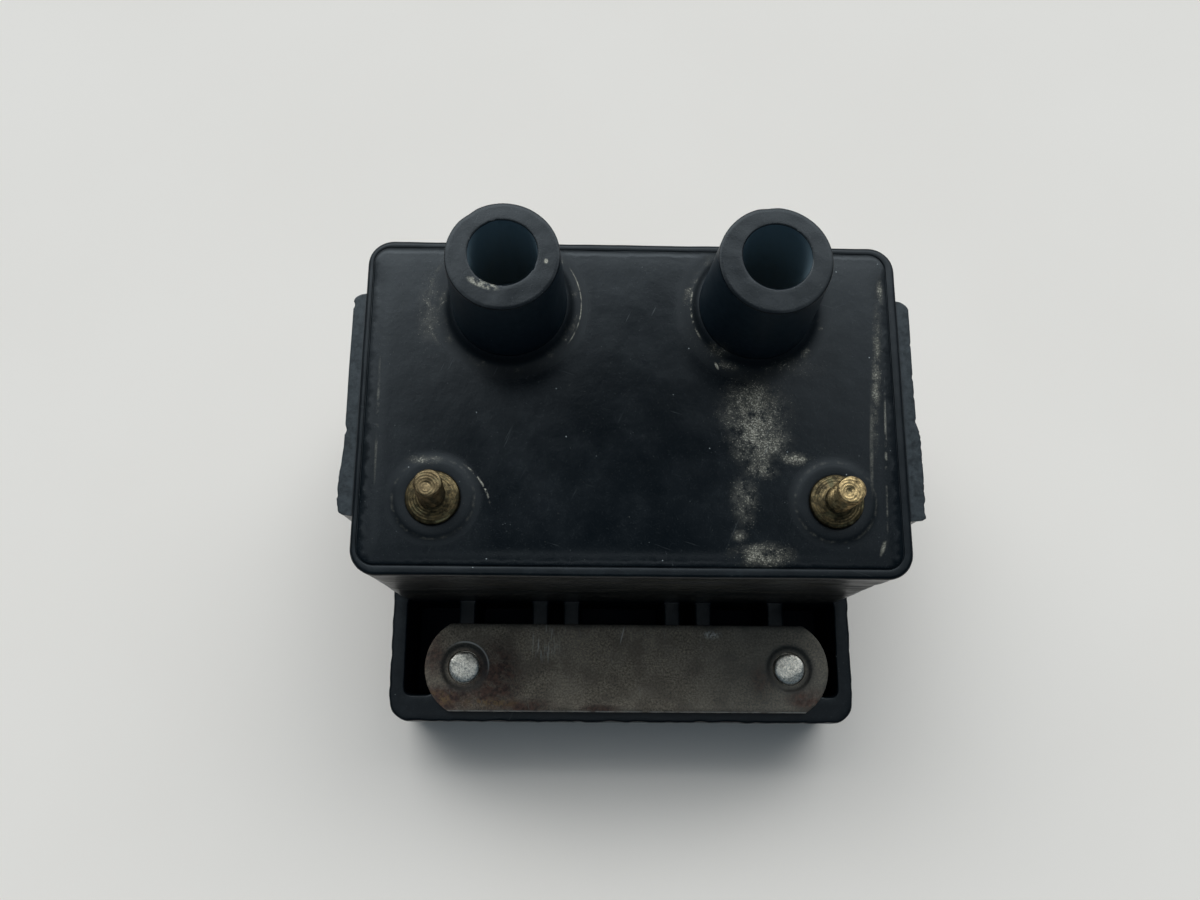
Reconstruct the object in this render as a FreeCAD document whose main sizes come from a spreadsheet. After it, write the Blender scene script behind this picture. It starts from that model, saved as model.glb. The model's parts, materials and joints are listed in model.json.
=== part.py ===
import FreeCAD, Part
import math
import os
import Sketcher
from FreeCAD import Vector

# A double-ended ignition coil in a moulded, potted case.
# Frame: +Z out of the terminal face, +X to the right, +Y away from the mounting foot.
# The origin is the centre of the bounding box at the back plane, which is what the coil lies on.

doc = FreeCAD.newDocument("ignition_coil")

# ---------------------------------------------------------------------------
# Driving dimensions, in millimetres
# ---------------------------------------------------------------------------

SIZES = [
    ("case_width", 82.0, "case across the towers"),
    ("case_length", 52.2, "case from the far wall to the front wall"),
    ("case_height", 56.0, "back plane to the rim"),
    ("case_centre", 10.5, "middle of the case along Y"),
    ("corner", 4.0, "upright corners of case and foot"),
    ("wall", 2.6, "case wall"),
    ("rim", 1.4, "rim left standing round the terminal cover"),
    ("case_floor", 3.0, "floor of the case at the back"),
    ("pad_proud", 1.8, "side pads beyond the case wall"),
    ("pad_length", 35.0, "side pads along Y"),
    ("pad_drop", 0.6, "top of the side pads below the rim"),
    ("flash_proud", 0.6, "moulding flash beyond the side pads"),
    ("flash_length", 15.0, "the same flash along Y, from the pads' front end"),
    ("flash_thickness", 0.7, "the same flash along Z"),
    ("recess_depth", 1.1, "recess for the core inside each side pad"),
    ("foot_height", 18.7, "back plane to the rim of the mounting foot"),
    ("foot_reach", 21.0, "foot beyond the front wall"),
    ("foot_side_rim", 2.8, "side walls of the foot"),
    ("foot_front_rim", 4.7, "front wall of the foot"),
    ("foot_floor", 4.0, "floor of the foot"),
    ("weld", 1.0, "how far ribs and bosses grow out of the walls and floors they stand on"),
    ("rib_thickness", 2.9, "ribs across the foot"),
    ("rib_inner", 9.0, "inner ribs from the middle"),
    ("rib_middle", 14.6, "second ribs from the middle"),
    ("rib_outer", 27.6, "outer ribs from the middle"),
    ("boss_radius", 6.2, "boss round each mounting pillar"),
    ("cover_thickness", 4.6, "terminal cover, edge to face"),
    ("cover_gap", 0.15, "bond line between cover and rim"),
    ("cover_round", 1.1, "rounded edge of the terminal cover"),
    ("cover_crown", 0.2, "cover face above the rim"),
    ("tower_spacing", 37.6, "between the two tower axes"),
    ("tower_back", 10.5, "tower axis from the far wall"),
    ("tower_height", 17.5, "tower above the rim"),
    ("tower_radius", 7.95, "tower at its mouth"),
    ("tower_draft", 0.8, "extra radius at the tower's foot"),
    ("tower_fillet", 1.6, "fillet at the tower's foot"),
    ("fillet_middle", 0.53, "the same fillet half way round, above the face and off the tower"),
    ("tower_bore", 4.8, "radius of the tower's bore"),
    ("tower_bore_depth", 20.5, "mouth of the bore to its contact"),
    ("tower_root", 4.0, "tower boss below the cover"),
    ("tower_root_radius", 7.0, "radius of that boss"),
    ("contact_radius", 4.0, "brass contact cup below the bore"),
    ("contact_height", 3.0, "height of the cup"),
    ("contact_stem", 1.5, "radius of the contact's stem"),
    ("dish_radius", 3.0, "dish in the top of the cup"),
    ("dish_floor", 2.0, "radius of the dish's flat bottom"),
    ("dish_depth", 1.5, "depth of the dish"),
    ("stud_spacing", 59.0, "between the two primary studs"),
    ("stud_shift", 0.3, "both studs to the right of the middle"),
    ("stud_front", 11.35, "stud axis from the front wall"),
    ("stud_radius", 2.085, "major radius of the stud's thread"),
    ("stud_height", 7.9, "stud tip above the rim"),
    ("stud_chamfer", 0.4, "chamfer at the stud's tip"),
    ("stud_base_radius", 4.075, "brass base of the stud"),
    ("stud_base_height", 1.0, "brass base above the cover"),
    ("stud_shank_radius", 3.4, "shank moulded into the cover"),
    ("stud_tail_radius", 1.6, "tail below the cover"),
    ("stud_tail", 3.0, "length of the tail"),
    ("collar_radius", 5.6, "moulded collar round the stud's base"),
    ("collar_height", 0.5, "that collar above the cover"),
    ("pillar_spacing", 57.2, "between the two mounting pillars"),
    ("pillar_front", 11.55, "pillar axis in front of the front wall"),
    ("pillar_shift", 0.9, "strap and pillars to the right of the middle"),
    ("pillar_radius", 4.5, "body of the pillar"),
    ("pillar_neck", 2.75, "neck swaged through the strap"),
    ("pillar_head", 0.5, "swaged head above the strap"),
    ("mount_hole", 2.55, "radius of the mounting hole"),
    ("mount_depth", 13.0, "depth of the mounting hole"),
    ("strap_width", 15.1, "strap along Y"),
    ("strap_length", 71.0, "strap between its rounded ends"),
    ("strap_end", 8.7, "radius of the strap's ends"),
    ("strap_thickness", 1.5, "strap"),
    ("dimple_radius", 3.85, "countersink round the pillar's neck"),
    ("dimple_depth", 0.45, "depth of that countersink"),
    ("core_stack", 26.0, "lamination stack along Y"),
    ("core_limb", 10.0, "height of the centre limb"),
    ("core_return", 5.0, "thickness of the yokes"),
    ("core_window", 8.5, "window above and below the centre limb"),
    ("core_middle", 23.5, "centre limb above the back plane"),
    ("bobbin_gap", 0.25, "bobbin round the centre limb"),
    ("bobbin_wall", 1.0, "wall of both bobbins"),
    ("bobbin_end", 0.6, "bobbin flange to yoke"),
    ("flange", 1.2, "thickness of the bobbin flanges"),
    ("primary_build", 1.9, "depth of the primary winding"),
    ("paper_build", 0.5, "insulation between the windings"),
    ("secondary_build", 2.2, "depth of the secondary winding"),
    ("flange_proud", 0.4, "flanges above the secondary winding"),
    ("lead_radius", 0.6, "radius of the leads inside"),
    ("lead_bend", 1.5, "bend radius of a lead's axis"),
    ("lead_clear", 1.8, "a lead's axis beyond the bobbin's end"),
    ("lead_drop", 3.0, "high-tension lead's first straight run, down from the contact"),
    ("lug_thickness", 0.8, "solder lug on the stud's tail"),
    ("lug_radius", 3.2, "eye of the solder lug"),
    ("lug_tab", 7.5, "stud axis to the end of the lug's tab"),
]
SECTION_COUNT = 8
TINY = 1e-4

sheet = doc.addObject("Spreadsheet::Sheet", "sizes")
for row, (alias, size, meaning) in enumerate(SIZES, start=1):
    sheet.set(f"A{row}", alias)
    sheet.set(f"B{row}", str(size))
    sheet.setAlias(f"B{row}", alias)
    sheet.set(f"C{row}", meaning)
doc.recompute()
ALIASES = {alias for alias, _, _ in SIZES}


def linked(formula):
    """The formula with every sheet alias written as a reference to its cell."""
    words = formula.replace("(", " ( ").replace(")", " ) ").split()
    return " ".join("sizes." + word if word in ALIASES else word for word in words)


def number(formula):
    """The value that a formula has now."""
    return float(sheet.evalExpression(linked(formula)))


# Heights, lengths and places that several sub-parts share, as formulas of the sheet's cells.
FACE = "( case_height + cover_crown )"
COVER_UNDER = "( case_height - cover_thickness )"
FRONT_WALL = "( case_centre - case_length / 2 )"
TOWER_Y = "( case_centre + case_length / 2 - tower_back )"
STUD_Y = f"( {FRONT_WALL} + stud_front )"
BOSS_UNDER = f"( {COVER_UNDER} - weld )"
PILLAR_Y = f"( {FRONT_WALL} - pillar_front )"
TOWER_TOP = "( case_height + tower_height )"
CONTACT_TOP = f"( {TOWER_TOP} - tower_bore_depth )"
CORE_HALF = "( case_width / 2 - wall + recess_depth )"
LIMB_HALF = f"( {CORE_HALF} - core_return )"
BOBBIN_HALF = f"( {LIMB_HALF} - bobbin_end )"
SIDES = (("left", "-1"), ("right", "1"))


# ---------------------------------------------------------------------------
# Sketches and features
# ---------------------------------------------------------------------------

def new_body(label):
    body = doc.addObject("PartDesign::Body", label)
    body.Label = label
    return body


def bind(thing, path, formula):
    thing.setExpression(path, linked(formula))


def new_sketch(body, name, plane, x="0", y="0", z="0"):
    """A sketch on one of the body's own origin planes, shifted to x, y, z along the sketch's axes."""
    sketch = body.newObject("Sketcher::SketchObject", name)
    support = next(item for item in body.Origin.OriginFeatures if item.Role == plane)
    sketch.AttachmentSupport = (support, [""])
    sketch.MapMode = "FlatFace"
    for axis, formula in zip("xyz", (x, y, z)):
        bind(sketch, f"AttachmentOffset.Base.{axis}", formula)
    return sketch


def place_corner(sketch, line, formulas):
    """Tie the start of a line to the sketch's origin, through the sheet."""
    for kind, formula, axis in zip(("DistanceX", "DistanceY"), formulas, (-2, -1)):
        if abs(number(formula)) < TINY:
            sketch.addConstraint(Sketcher.Constraint("PointOnObject", line, 1, axis))
            continue
        index = sketch.addConstraint(Sketcher.Constraint(kind, -1, 1, line, 1, number(formula)))
        sketch.renameConstraint(index, f"{kind}_{line}")
        bind(sketch, f"Constraints.{kind}_{line}", formula)


def polygon(sketch, corners):
    """A closed outline of straight lines. Each corner is a pair of formulas."""
    points = [Vector(number(x), number(y), 0) for x, y in corners]
    count = len(points)
    for index in range(count):
        sketch.addGeometry(Part.LineSegment(points[index], points[(index + 1) % count]))
    for index in range(count):
        sketch.addConstraint(Sketcher.Constraint("Coincident", index, 2, (index + 1) % count, 1))
    for index, formulas in enumerate(corners):
        place_corner(sketch, index, formulas)


def circle(sketch, radius):
    """A circle about the sketch's own origin."""
    sketch.addGeometry(Part.Circle(Vector(0, 0, 0), Vector(0, 0, 1), number(radius)))
    sketch.addConstraint(Sketcher.Constraint("Coincident", 0, 3, -1, 1))
    index = sketch.addConstraint(Sketcher.Constraint("Radius", 0, number(radius)))
    sketch.renameConstraint(index, "radius")
    bind(sketch, "Constraints.radius", radius)


def rounded_rectangle(sketch, width, length, radius):
    """A rectangle about the sketch's origin, its four corners rounded to the same radius."""
    half_x, half_y, r = number(width) / 2, number(length) / 2, number(radius)
    inner_x, inner_y = half_x - r, half_y - r
    signs = ((1, -1, -90), (1, 1, 0), (-1, 1, 90), (-1, -1, 180))
    for sx, sy, start in signs:
        round_edge = Part.Circle(Vector(sx * inner_x, sy * inner_y, 0), Vector(0, 0, 1), r)
        sketch.addGeometry(Part.ArcOfCircle(round_edge, math.radians(start), math.radians(start + 90)))
    ends = (
        (Vector(half_x, -inner_y, 0), Vector(half_x, inner_y, 0)),
        (Vector(inner_x, half_y, 0), Vector(-inner_x, half_y, 0)),
        (Vector(-half_x, inner_y, 0), Vector(-half_x, -inner_y, 0)),
        (Vector(-inner_x, -half_y, 0), Vector(inner_x, -half_y, 0)),
    )
    for first, second in ends:
        sketch.addGeometry(Part.LineSegment(first, second))
    for side in range(4):
        sketch.addConstraint(Sketcher.Constraint("Tangent", side, 2, 4 + side, 1))
        sketch.addConstraint(Sketcher.Constraint("Tangent", 4 + side, 2, (side + 1) % 4, 1))
    for side in (4, 6):
        sketch.addConstraint(Sketcher.Constraint("Vertical", side))
    for side in (5, 7):
        sketch.addConstraint(Sketcher.Constraint("Horizontal", side))
    for arc in (1, 2, 3):
        sketch.addConstraint(Sketcher.Constraint("Equal", 0, arc))
    sketch.addConstraint(Sketcher.Constraint("Symmetric", 4, 1, 6, 1, -1, 1))
    for name, kind, line, span, formula in (
        ("width", "DistanceX", 5, -2 * inner_x, f"-1 * ( {width} - 2 * {radius} )"),
        ("length", "DistanceY", 4, 2 * inner_y, f"{length} - 2 * {radius}"),
    ):
        index = sketch.addConstraint(Sketcher.Constraint(kind, line, 1, line, 2, span))
        sketch.renameConstraint(index, name)
        bind(sketch, f"Constraints.{name}", formula)
    index = sketch.addConstraint(Sketcher.Constraint("Radius", 0, r))
    sketch.renameConstraint(index, "corner")
    bind(sketch, "Constraints.corner", radius)


def pad(body, name, sketch, length):
    feature = body.newObject("PartDesign::Pad", name)
    feature.Profile = sketch
    bind(feature, "Length", length)
    doc.recompute()
    return feature


def pocket(body, name, sketch, depth):
    """Cut downwards from the sketch, and make sure that it does cut."""
    before = body.Shape.Volume
    feature = body.newObject("PartDesign::Pocket", name)
    feature.Profile = sketch
    bind(feature, "Length", depth)
    doc.recompute()
    if body.Shape.Volume > before - TINY:
        raise RuntimeError(f"{name} cuts nothing")
    return feature


def revolution(body, name, sketch):
    """Turn a profile drawn in the XZ plane about the sketch's own vertical axis."""
    feature = body.newObject("PartDesign::Revolution", name)
    feature.Profile = sketch
    feature.ReferenceAxis = (sketch, ["V_Axis"])
    feature.Angle = 360
    doc.recompute()
    return feature


def place(body, x="0", y="0", z="0"):
    """Move a whole sub-part, through the sheet."""
    for axis, formula in zip("xyz", (x, y, z)):
        bind(body, f"Placement.Base.{axis}", formula)


def block(body, name, size_x, size_y, bottom, top, x="0", y="0", cut=False):
    """A rectangular pad, or pocket, between two heights."""
    half_x, half_y = f"( {size_x} ) / 2", f"( {size_y} ) / 2"
    sketch = new_sketch(body, name + "_outline", "XY_Plane", x, y, top if cut else bottom)
    polygon(sketch, [
        (f"-1 * {half_x}", f"-1 * {half_y}"),
        (half_x, f"-1 * {half_y}"),
        (half_x, half_y),
        (f"-1 * {half_x}", half_y),
    ])
    make = pocket if cut else pad
    return make(body, name, sketch, f"{top} - {bottom}")


def round_block(body, name, size_x, size_y, radius, bottom, top, x="0", y="0", cut=False):
    """The same with rounded corners."""
    sketch = new_sketch(body, name + "_outline", "XY_Plane", x, y, top if cut else bottom)
    rounded_rectangle(sketch, size_x, size_y, radius)
    make = pocket if cut else pad
    return make(body, name, sketch, f"{top} - {bottom}")


def disc(body, name, radius, bottom, top, x="0", y="0", cut=False):
    """The same with a round outline."""
    sketch = new_sketch(body, name + "_outline", "XY_Plane", x, y, top if cut else bottom)
    circle(sketch, radius)
    make = pocket if cut else pad
    return make(body, name, sketch, f"{top} - {bottom}")


def round_edges(body, name, base, radius, wanted):
    """Fillet the edges of a feature that the test picks."""
    edges = [f"Edge{n}" for n, edge in enumerate(base.Shape.Edges, start=1) if wanted(edge)]
    feature = body.newObject("PartDesign::Fillet", name)
    feature.Base = (base, edges)
    bind(feature, "Radius", radius)
    doc.recompute()
    return feature


# ---------------------------------------------------------------------------
# Case: box, side pads and ribbed mounting foot in one moulding
# ---------------------------------------------------------------------------

def make_case():
    body = new_body("case")
    round_block(body, "box", "case_width", "case_length", "corner", "0", "case_height", y="case_centre")
    block(body, "side_pads", "case_width + 2 * pad_proud", "pad_length", "0",
          "( case_height - pad_drop )", y="case_centre")
    block(body, "pad_flash", "case_width + 2 * pad_proud + 2 * flash_proud", "flash_length",
          "( case_height - pad_drop - flash_thickness )", "( case_height - pad_drop )",
          y="case_centre - pad_length / 2 + flash_length / 2")
    overlap = "2 * corner"
    foot_length = f"( foot_reach + {overlap} )"
    round_block(body, "foot", "case_width", foot_length, "corner", "0", "foot_height",
                y=f"{FRONT_WALL} - foot_reach + {foot_length} / 2")
    round_block(body, "cover_seat", "( case_width - 2 * rim )", "( case_length - 2 * rim )",
                "( corner - rim )", COVER_UNDER, "case_height", y="case_centre", cut=True)
    round_block(body, "cavity", "( case_width - 2 * wall )", "( case_length - 2 * wall )",
                "( corner - rim )", "case_floor", COVER_UNDER, y="case_centre", cut=True)
    block(body, "core_recess", f"2 * {CORE_HALF}", "core_stack",
          "case_floor", COVER_UNDER, y="case_centre", cut=True)
    hollow_length = "( foot_reach - foot_front_rim )"
    block(body, "foot_hollow", "case_width - 2 * foot_side_rim", hollow_length, "foot_floor",
          "foot_height", y=f"{FRONT_WALL} - {hollow_length} / 2", cut=True)
    for side, sign in SIDES:
        for place_name in ("inner", "middle", "outer"):
            block(body, f"rib_{place_name}_{side}", "rib_thickness", f"{hollow_length} + weld",
                  "foot_floor - weld", "foot_height", x=f"{sign} * rib_{place_name}",
                  y=f"{FRONT_WALL} - {hollow_length} / 2")
        at_x = f"{sign} * pillar_spacing / 2 + pillar_shift"
        disc(body, f"boss_{side}", "boss_radius", "foot_floor - weld", "foot_height", at_x, PILLAR_Y)
        disc(body, f"pillar_hole_{side}", "pillar_radius", "0", "foot_height", at_x, PILLAR_Y, cut=True)
    return body


# ---------------------------------------------------------------------------
# Terminal cover: face with two towers and two stud bosses
# ---------------------------------------------------------------------------

def is_top_edge(edge):
    return edge.BoundBox.ZMin > number(FACE) - TINY


def make_terminal_cover():
    body = new_body("terminal_cover")
    plate = round_block(body, "plate", "( case_width - 2 * rim - 2 * cover_gap )",
                        "( case_length - 2 * rim - 2 * cover_gap )",
                        "( corner - rim - cover_gap )", COVER_UNDER, FACE, y="case_centre")
    round_edges(body, "plate_edge", plate, "cover_round", is_top_edge)
    for side, sign in SIDES:
        tower_x = f"{sign} * tower_spacing / 2"
        profile = new_sketch(body, f"tower_{side}_profile", "XZ_Plane", tower_x, "0", f"-1 * {TOWER_Y}")
        foot_radius = "( tower_radius + tower_draft )"
        polygon(profile, [
            ("0", f"{COVER_UNDER} - tower_root"),
            ("tower_root_radius", f"{COVER_UNDER} - tower_root"),
            ("tower_root_radius", COVER_UNDER),
            (f"{foot_radius} + tower_fillet", COVER_UNDER),
            (f"{foot_radius} + tower_fillet", FACE),
            (f"{foot_radius} + fillet_middle", f"{FACE} + fillet_middle"),
            (foot_radius, f"{FACE} + tower_fillet"),
            ("tower_radius", TOWER_TOP),
            ("0", TOWER_TOP),
        ])
        revolution(body, f"tower_{side}", profile)
        disc(body, f"bore_{side}", "tower_bore", CONTACT_TOP, TOWER_TOP, tower_x, TOWER_Y, cut=True)
        disc(body, f"contact_seat_{side}", "contact_radius", f"( {CONTACT_TOP} - contact_height )",
             TOWER_TOP, tower_x, TOWER_Y, cut=True)
        disc(body, f"stem_hole_{side}", "contact_stem", f"( {COVER_UNDER} - tower_root )", TOWER_TOP,
             tower_x, TOWER_Y, cut=True)
        stud_x = f"{sign} * stud_spacing / 2 + stud_shift"
        disc(body, f"collar_{side}", "collar_radius", BOSS_UNDER, f"( {FACE} + collar_height )",
             stud_x, STUD_Y)
        disc(body, f"base_seat_{side}", "stud_base_radius", FACE, f"( {FACE} + collar_height )",
             stud_x, STUD_Y, cut=True)
        disc(body, f"shank_hole_{side}", "stud_shank_radius", BOSS_UNDER, FACE, stud_x, STUD_Y, cut=True)
    far_edge = "( case_centre + case_length / 2 - rim - cover_gap )"
    block(body, "far_trim", "case_width", "2 * tower_fillet", COVER_UNDER, TOWER_TOP,
          y=f"{far_edge} + tower_fillet", cut=True)
    return body


# ---------------------------------------------------------------------------
# Terminals: brass contacts in the towers, brass studs, their lugs
# ---------------------------------------------------------------------------

def make_contact(side, sign):
    """A cup at the bottom of the tower's bore, with a stem through the cover."""
    body = new_body(f"ht_contact_{side}")
    profile = new_sketch(body, "profile", "XZ_Plane")
    under = f"( {COVER_UNDER} - tower_root - stud_tail )"
    polygon(profile, [
        ("0", under),
        ("contact_stem", under),
        ("contact_stem", f"{CONTACT_TOP} - contact_height"),
        ("contact_radius", f"{CONTACT_TOP} - contact_height"),
        ("contact_radius", CONTACT_TOP),
        ("dish_radius", CONTACT_TOP),
        ("dish_floor", f"{CONTACT_TOP} - dish_depth"),
        ("0", f"{CONTACT_TOP} - dish_depth"),
    ])
    revolution(body, "turned", profile)
    place(body, f"{sign} * tower_spacing / 2", TOWER_Y)
    return body


def make_stud(side, sign):
    """A turned stud: tail and shank below the cover's face, base on it, thread above."""
    body = new_body(f"primary_stud_{side}")
    profile = new_sketch(body, "profile", "XZ_Plane")
    top = "( case_height + stud_height )"
    base_top = f"( {FACE} + stud_base_height )"
    polygon(profile, [
        ("0", f"{BOSS_UNDER} - stud_tail"),
        ("stud_tail_radius", f"{BOSS_UNDER} - stud_tail"),
        ("stud_tail_radius", BOSS_UNDER),
        ("stud_shank_radius", BOSS_UNDER),
        ("stud_shank_radius", FACE),
        ("stud_base_radius", FACE),
        ("stud_base_radius", base_top),
        ("stud_radius", base_top),
        ("stud_radius", f"{top} - stud_chamfer"),
        ("stud_radius - stud_chamfer", top),
        ("0", top),
    ])
    revolution(body, "turned", profile)
    place(body, f"{sign} * stud_spacing / 2 + stud_shift", STUD_Y)
    return body


def make_lug(side, sign):
    """A flat eye round the stud's tail, with a tab that takes the lead."""
    body = new_body(f"primary_lug_{side}")
    bottom = f"( {BOSS_UNDER} - lug_thickness )"
    disc(body, "eye", "lug_radius", bottom, BOSS_UNDER)
    block(body, "tab", "lug_tab", "lug_radius", bottom, BOSS_UNDER, x=f"{sign} * lug_tab / 2")
    disc(body, "eye_hole", "stud_tail_radius", bottom, BOSS_UNDER, cut=True)
    place(body, f"{sign} * stud_spacing / 2 + stud_shift", STUD_Y)
    return body


# ---------------------------------------------------------------------------
# Mounting strap and pillars
# ---------------------------------------------------------------------------

def make_strap():
    """A flat steel strap whose ends are arcs, with two countersunk holes for the pillars."""
    body = new_body("mounting_strap")
    sketch = new_sketch(body, "outline", "XY_Plane", z="foot_height")
    half_width, radius = number("strap_width") / 2, number("strap_end")
    centre = number("strap_length") / 2 - radius
    reach = centre + math.sqrt(radius ** 2 - half_width ** 2)
    for sign in (1, -1):
        start = Vector(sign * reach, -sign * half_width, 0)
        finish = Vector(sign * reach, sign * half_width, 0)
        sketch.addGeometry(Part.Arc(start, Vector(sign * (centre + radius), 0, 0), finish))
        sketch.addGeometry(Part.LineSegment(finish, Vector(-sign * reach, sign * half_width, 0)))
    for index in range(4):
        sketch.addConstraint(Sketcher.Constraint("Coincident", index, 2, (index + 1) % 4, 1))
    sketch.addConstraint(Sketcher.Constraint("Horizontal", 1))
    sketch.addConstraint(Sketcher.Constraint("Horizontal", 3))
    sketch.addConstraint(Sketcher.Constraint("Equal", 0, 2))
    sketch.addConstraint(Sketcher.Constraint("Equal", 1, 3))
    sketch.addConstraint(Sketcher.Constraint("Symmetric", 1, 1, 3, 1, -1, 1))
    sketch.addConstraint(Sketcher.Constraint("PointOnObject", 0, 3, -1))
    for name, constraint, formula in (
        ("width", Sketcher.Constraint("DistanceY", 0, 1, 0, 2, 2 * half_width), "strap_width"),
        ("radius", Sketcher.Constraint("Radius", 0, radius), "strap_end"),
        ("centre", Sketcher.Constraint("DistanceX", -1, 1, 0, 3, centre), "strap_length / 2 - strap_end"),
    ):
        index = sketch.addConstraint(constraint)
        sketch.renameConstraint(index, name)
        bind(sketch, f"Constraints.{name}", formula)
    pad(body, "plate", sketch, "strap_thickness")
    top = "( foot_height + strap_thickness )"
    for side, sign in SIDES:
        at_x = f"{sign} * pillar_spacing / 2"
        disc(body, f"dimple_{side}", "dimple_radius", f"( {top} - dimple_depth )", top, at_x, cut=True)
        disc(body, f"hole_{side}", "pillar_neck", "foot_height", top, at_x, cut=True)
    place(body, "pillar_shift", PILLAR_Y)
    return body


def make_pillar(side, sign):
    """A steel pillar through the foot: mounting hole at the back, neck swaged through the strap."""
    body = new_body(f"mounting_pillar_{side}")
    profile = new_sketch(body, "profile", "XZ_Plane")
    head = "( foot_height + strap_thickness + pillar_head )"
    polygon(profile, [
        ("mount_hole", "0"),
        ("pillar_radius", "0"),
        ("pillar_radius", "foot_height"),
        ("pillar_neck", "foot_height"),
        ("pillar_neck", f"{head} - pillar_head / 2"),
        ("pillar_neck - pillar_head", head),
        ("0", head),
        ("0", "mount_depth + mount_hole / 2"),
        ("mount_hole", "mount_depth"),
    ])
    revolution(body, "turned", profile)
    place(body, f"{sign} * pillar_spacing / 2 + pillar_shift", PILLAR_Y)
    return body


# ---------------------------------------------------------------------------
# Core, bobbins and windings: all of them wrap the centre limb, which lies along X
# ---------------------------------------------------------------------------

def around_limb(extra):
    """Width (along Y) and height (along Z) of a wrap that stands off the centre limb by extra."""
    return f"( core_stack + 2 * ( {extra} ) )", f"( core_limb + 2 * ( {extra} ) )"


def limb_sketch(body, name, extra, start):
    """The outline of such a wrap in the YZ plane, at the distance start along X."""
    width, height = around_limb(extra)
    sketch = new_sketch(body, name, "YZ_Plane", "case_centre", "core_middle", start)
    half_w, half_h = f"{width} / 2", f"{height} / 2"
    polygon(sketch, [
        (f"-1 * {half_w}", f"-1 * {half_h}"),
        (half_w, f"-1 * {half_h}"),
        (half_w, half_h),
        (f"-1 * {half_w}", half_h),
    ])
    return sketch


def wrap(label, inner, outer, half_length):
    """A sleeve round the centre limb between two stand-offs."""
    body = new_body(label)
    pad(body, "sleeve", limb_sketch(body, "outside", outer, f"-1 * ( {half_length} )"),
        f"2 * ( {half_length} )")
    pocket(body, "inside_cut", limb_sketch(body, "inside", inner, f"( {half_length} )"),
           f"2 * ( {half_length} )")
    return body


# Stand-offs from the centre limb's surface, one winding layer after another.
PRIMARY_IN = "( bobbin_gap + bobbin_wall )"
PRIMARY_OUT = f"( {PRIMARY_IN} + primary_build )"
PAPER_OUT = f"( {PRIMARY_OUT} + paper_build )"
SECONDARY_IN = f"( {PAPER_OUT} + bobbin_wall )"
SECONDARY_OUT = f"( {SECONDARY_IN} + secondary_build )"
FLANGE_OUT = f"( {SECONDARY_OUT} + flange_proud )"
WINDING_HALF = f"( {BOBBIN_HALF} - flange )"


def make_core_limb():
    body = new_body("core_centre_limb")
    pad(body, "stack", limb_sketch(body, "section", "0", f"-1 * {LIMB_HALF}"), f"2 * {LIMB_HALF}")
    return body


def make_yoke(side, sign):
    """A C-shaped stack: an end yoke and half of each return limb."""
    body = new_body(f"core_yoke_{side}")
    sketch = new_sketch(body, "section", "XZ_Plane", "0", "core_middle",
                        "-1 * case_centre - core_stack / 2")
    outside = "( core_limb / 2 + core_window + core_return )"
    inside = "( core_limb / 2 + core_window )"
    polygon(sketch, [
        ("0", f"-1 * {outside}"),
        (f"{sign} * {CORE_HALF}", f"-1 * {outside}"),
        (f"{sign} * {CORE_HALF}", outside),
        ("0", outside),
        ("0", inside),
        (f"{sign} * {LIMB_HALF}", inside),
        (f"{sign} * {LIMB_HALF}", f"-1 * {inside}"),
        ("0", f"-1 * {inside}"),
    ])
    pad(body, "stack", sketch, "core_stack")
    return body


def make_primary_bobbin():
    body = wrap("primary_bobbin", "bobbin_gap", PRIMARY_IN, BOBBIN_HALF)
    for side, start in (("left", f"-1 * {BOBBIN_HALF}"), ("right", WINDING_HALF)):
        pad(body, f"flange_{side}", limb_sketch(body, f"flange_outside_{side}", PAPER_OUT, start), "flange")
        pocket(body, f"flange_cut_{side}",
               limb_sketch(body, f"flange_inside_{side}", "bobbin_gap", f"{start} + flange"), "flange")
    return body


def make_secondary_bobbin():
    """A sleeve with a flange at each end and one between each two winding sections."""
    body = wrap("secondary_bobbin", PAPER_OUT, SECONDARY_IN, BOBBIN_HALF)
    for index in range(SECTION_COUNT + 1):
        start = f"{BOBBIN_HALF} * ( 2 * {index} / {SECTION_COUNT} - 1 ) - flange * {index} / {SECTION_COUNT}"
        pad(body, f"flange_{index}", limb_sketch(body, f"flange_outside_{index}", FLANGE_OUT, start), "flange")
        pocket(body, f"flange_cut_{index}",
               limb_sketch(body, f"flange_inside_{index}", PAPER_OUT, f"{start} + flange"), "flange")
    return body


def make_secondary_winding():
    """Eight coils of fine wire, one in each section of the bobbin."""
    width, height = around_limb(SECONDARY_OUT)
    hole_width, hole_height = around_limb(SECONDARY_IN)
    pitch = f"( ( 2 * {BOBBIN_HALF} - flange ) / {SECTION_COUNT} )"
    coils = []
    for index in range(SECTION_COUNT):
        start = f"-1 * {BOBBIN_HALF} + flange + {pitch} * {index}"
        boxes = []
        for name, size_y, size_z in (("outside", width, height), ("inside", hole_width, hole_height)):
            box = doc.addObject("Part::Box", f"secondary_{name}_{index}")
            bind(box, "Length", f"{pitch} - flange")
            bind(box, "Width", size_y)
            bind(box, "Height", size_z)
            bind(box, "Placement.Base.x", start)
            bind(box, "Placement.Base.y", f"case_centre - {size_y} / 2")
            bind(box, "Placement.Base.z", f"core_middle - {size_z} / 2")
            boxes.append(box)
        coil = doc.addObject("Part::Cut", f"secondary_coil_{index}")
        coil.Base, coil.Tool = boxes
        coils.append(coil)
    group = doc.addObject("Part::Compound", "secondary_winding")
    group.Label = "secondary_winding"
    group.Links = coils
    doc.recompute()
    return group


# ---------------------------------------------------------------------------
# Leads inside: straight runs joined by tangent arcs
# ---------------------------------------------------------------------------

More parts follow.
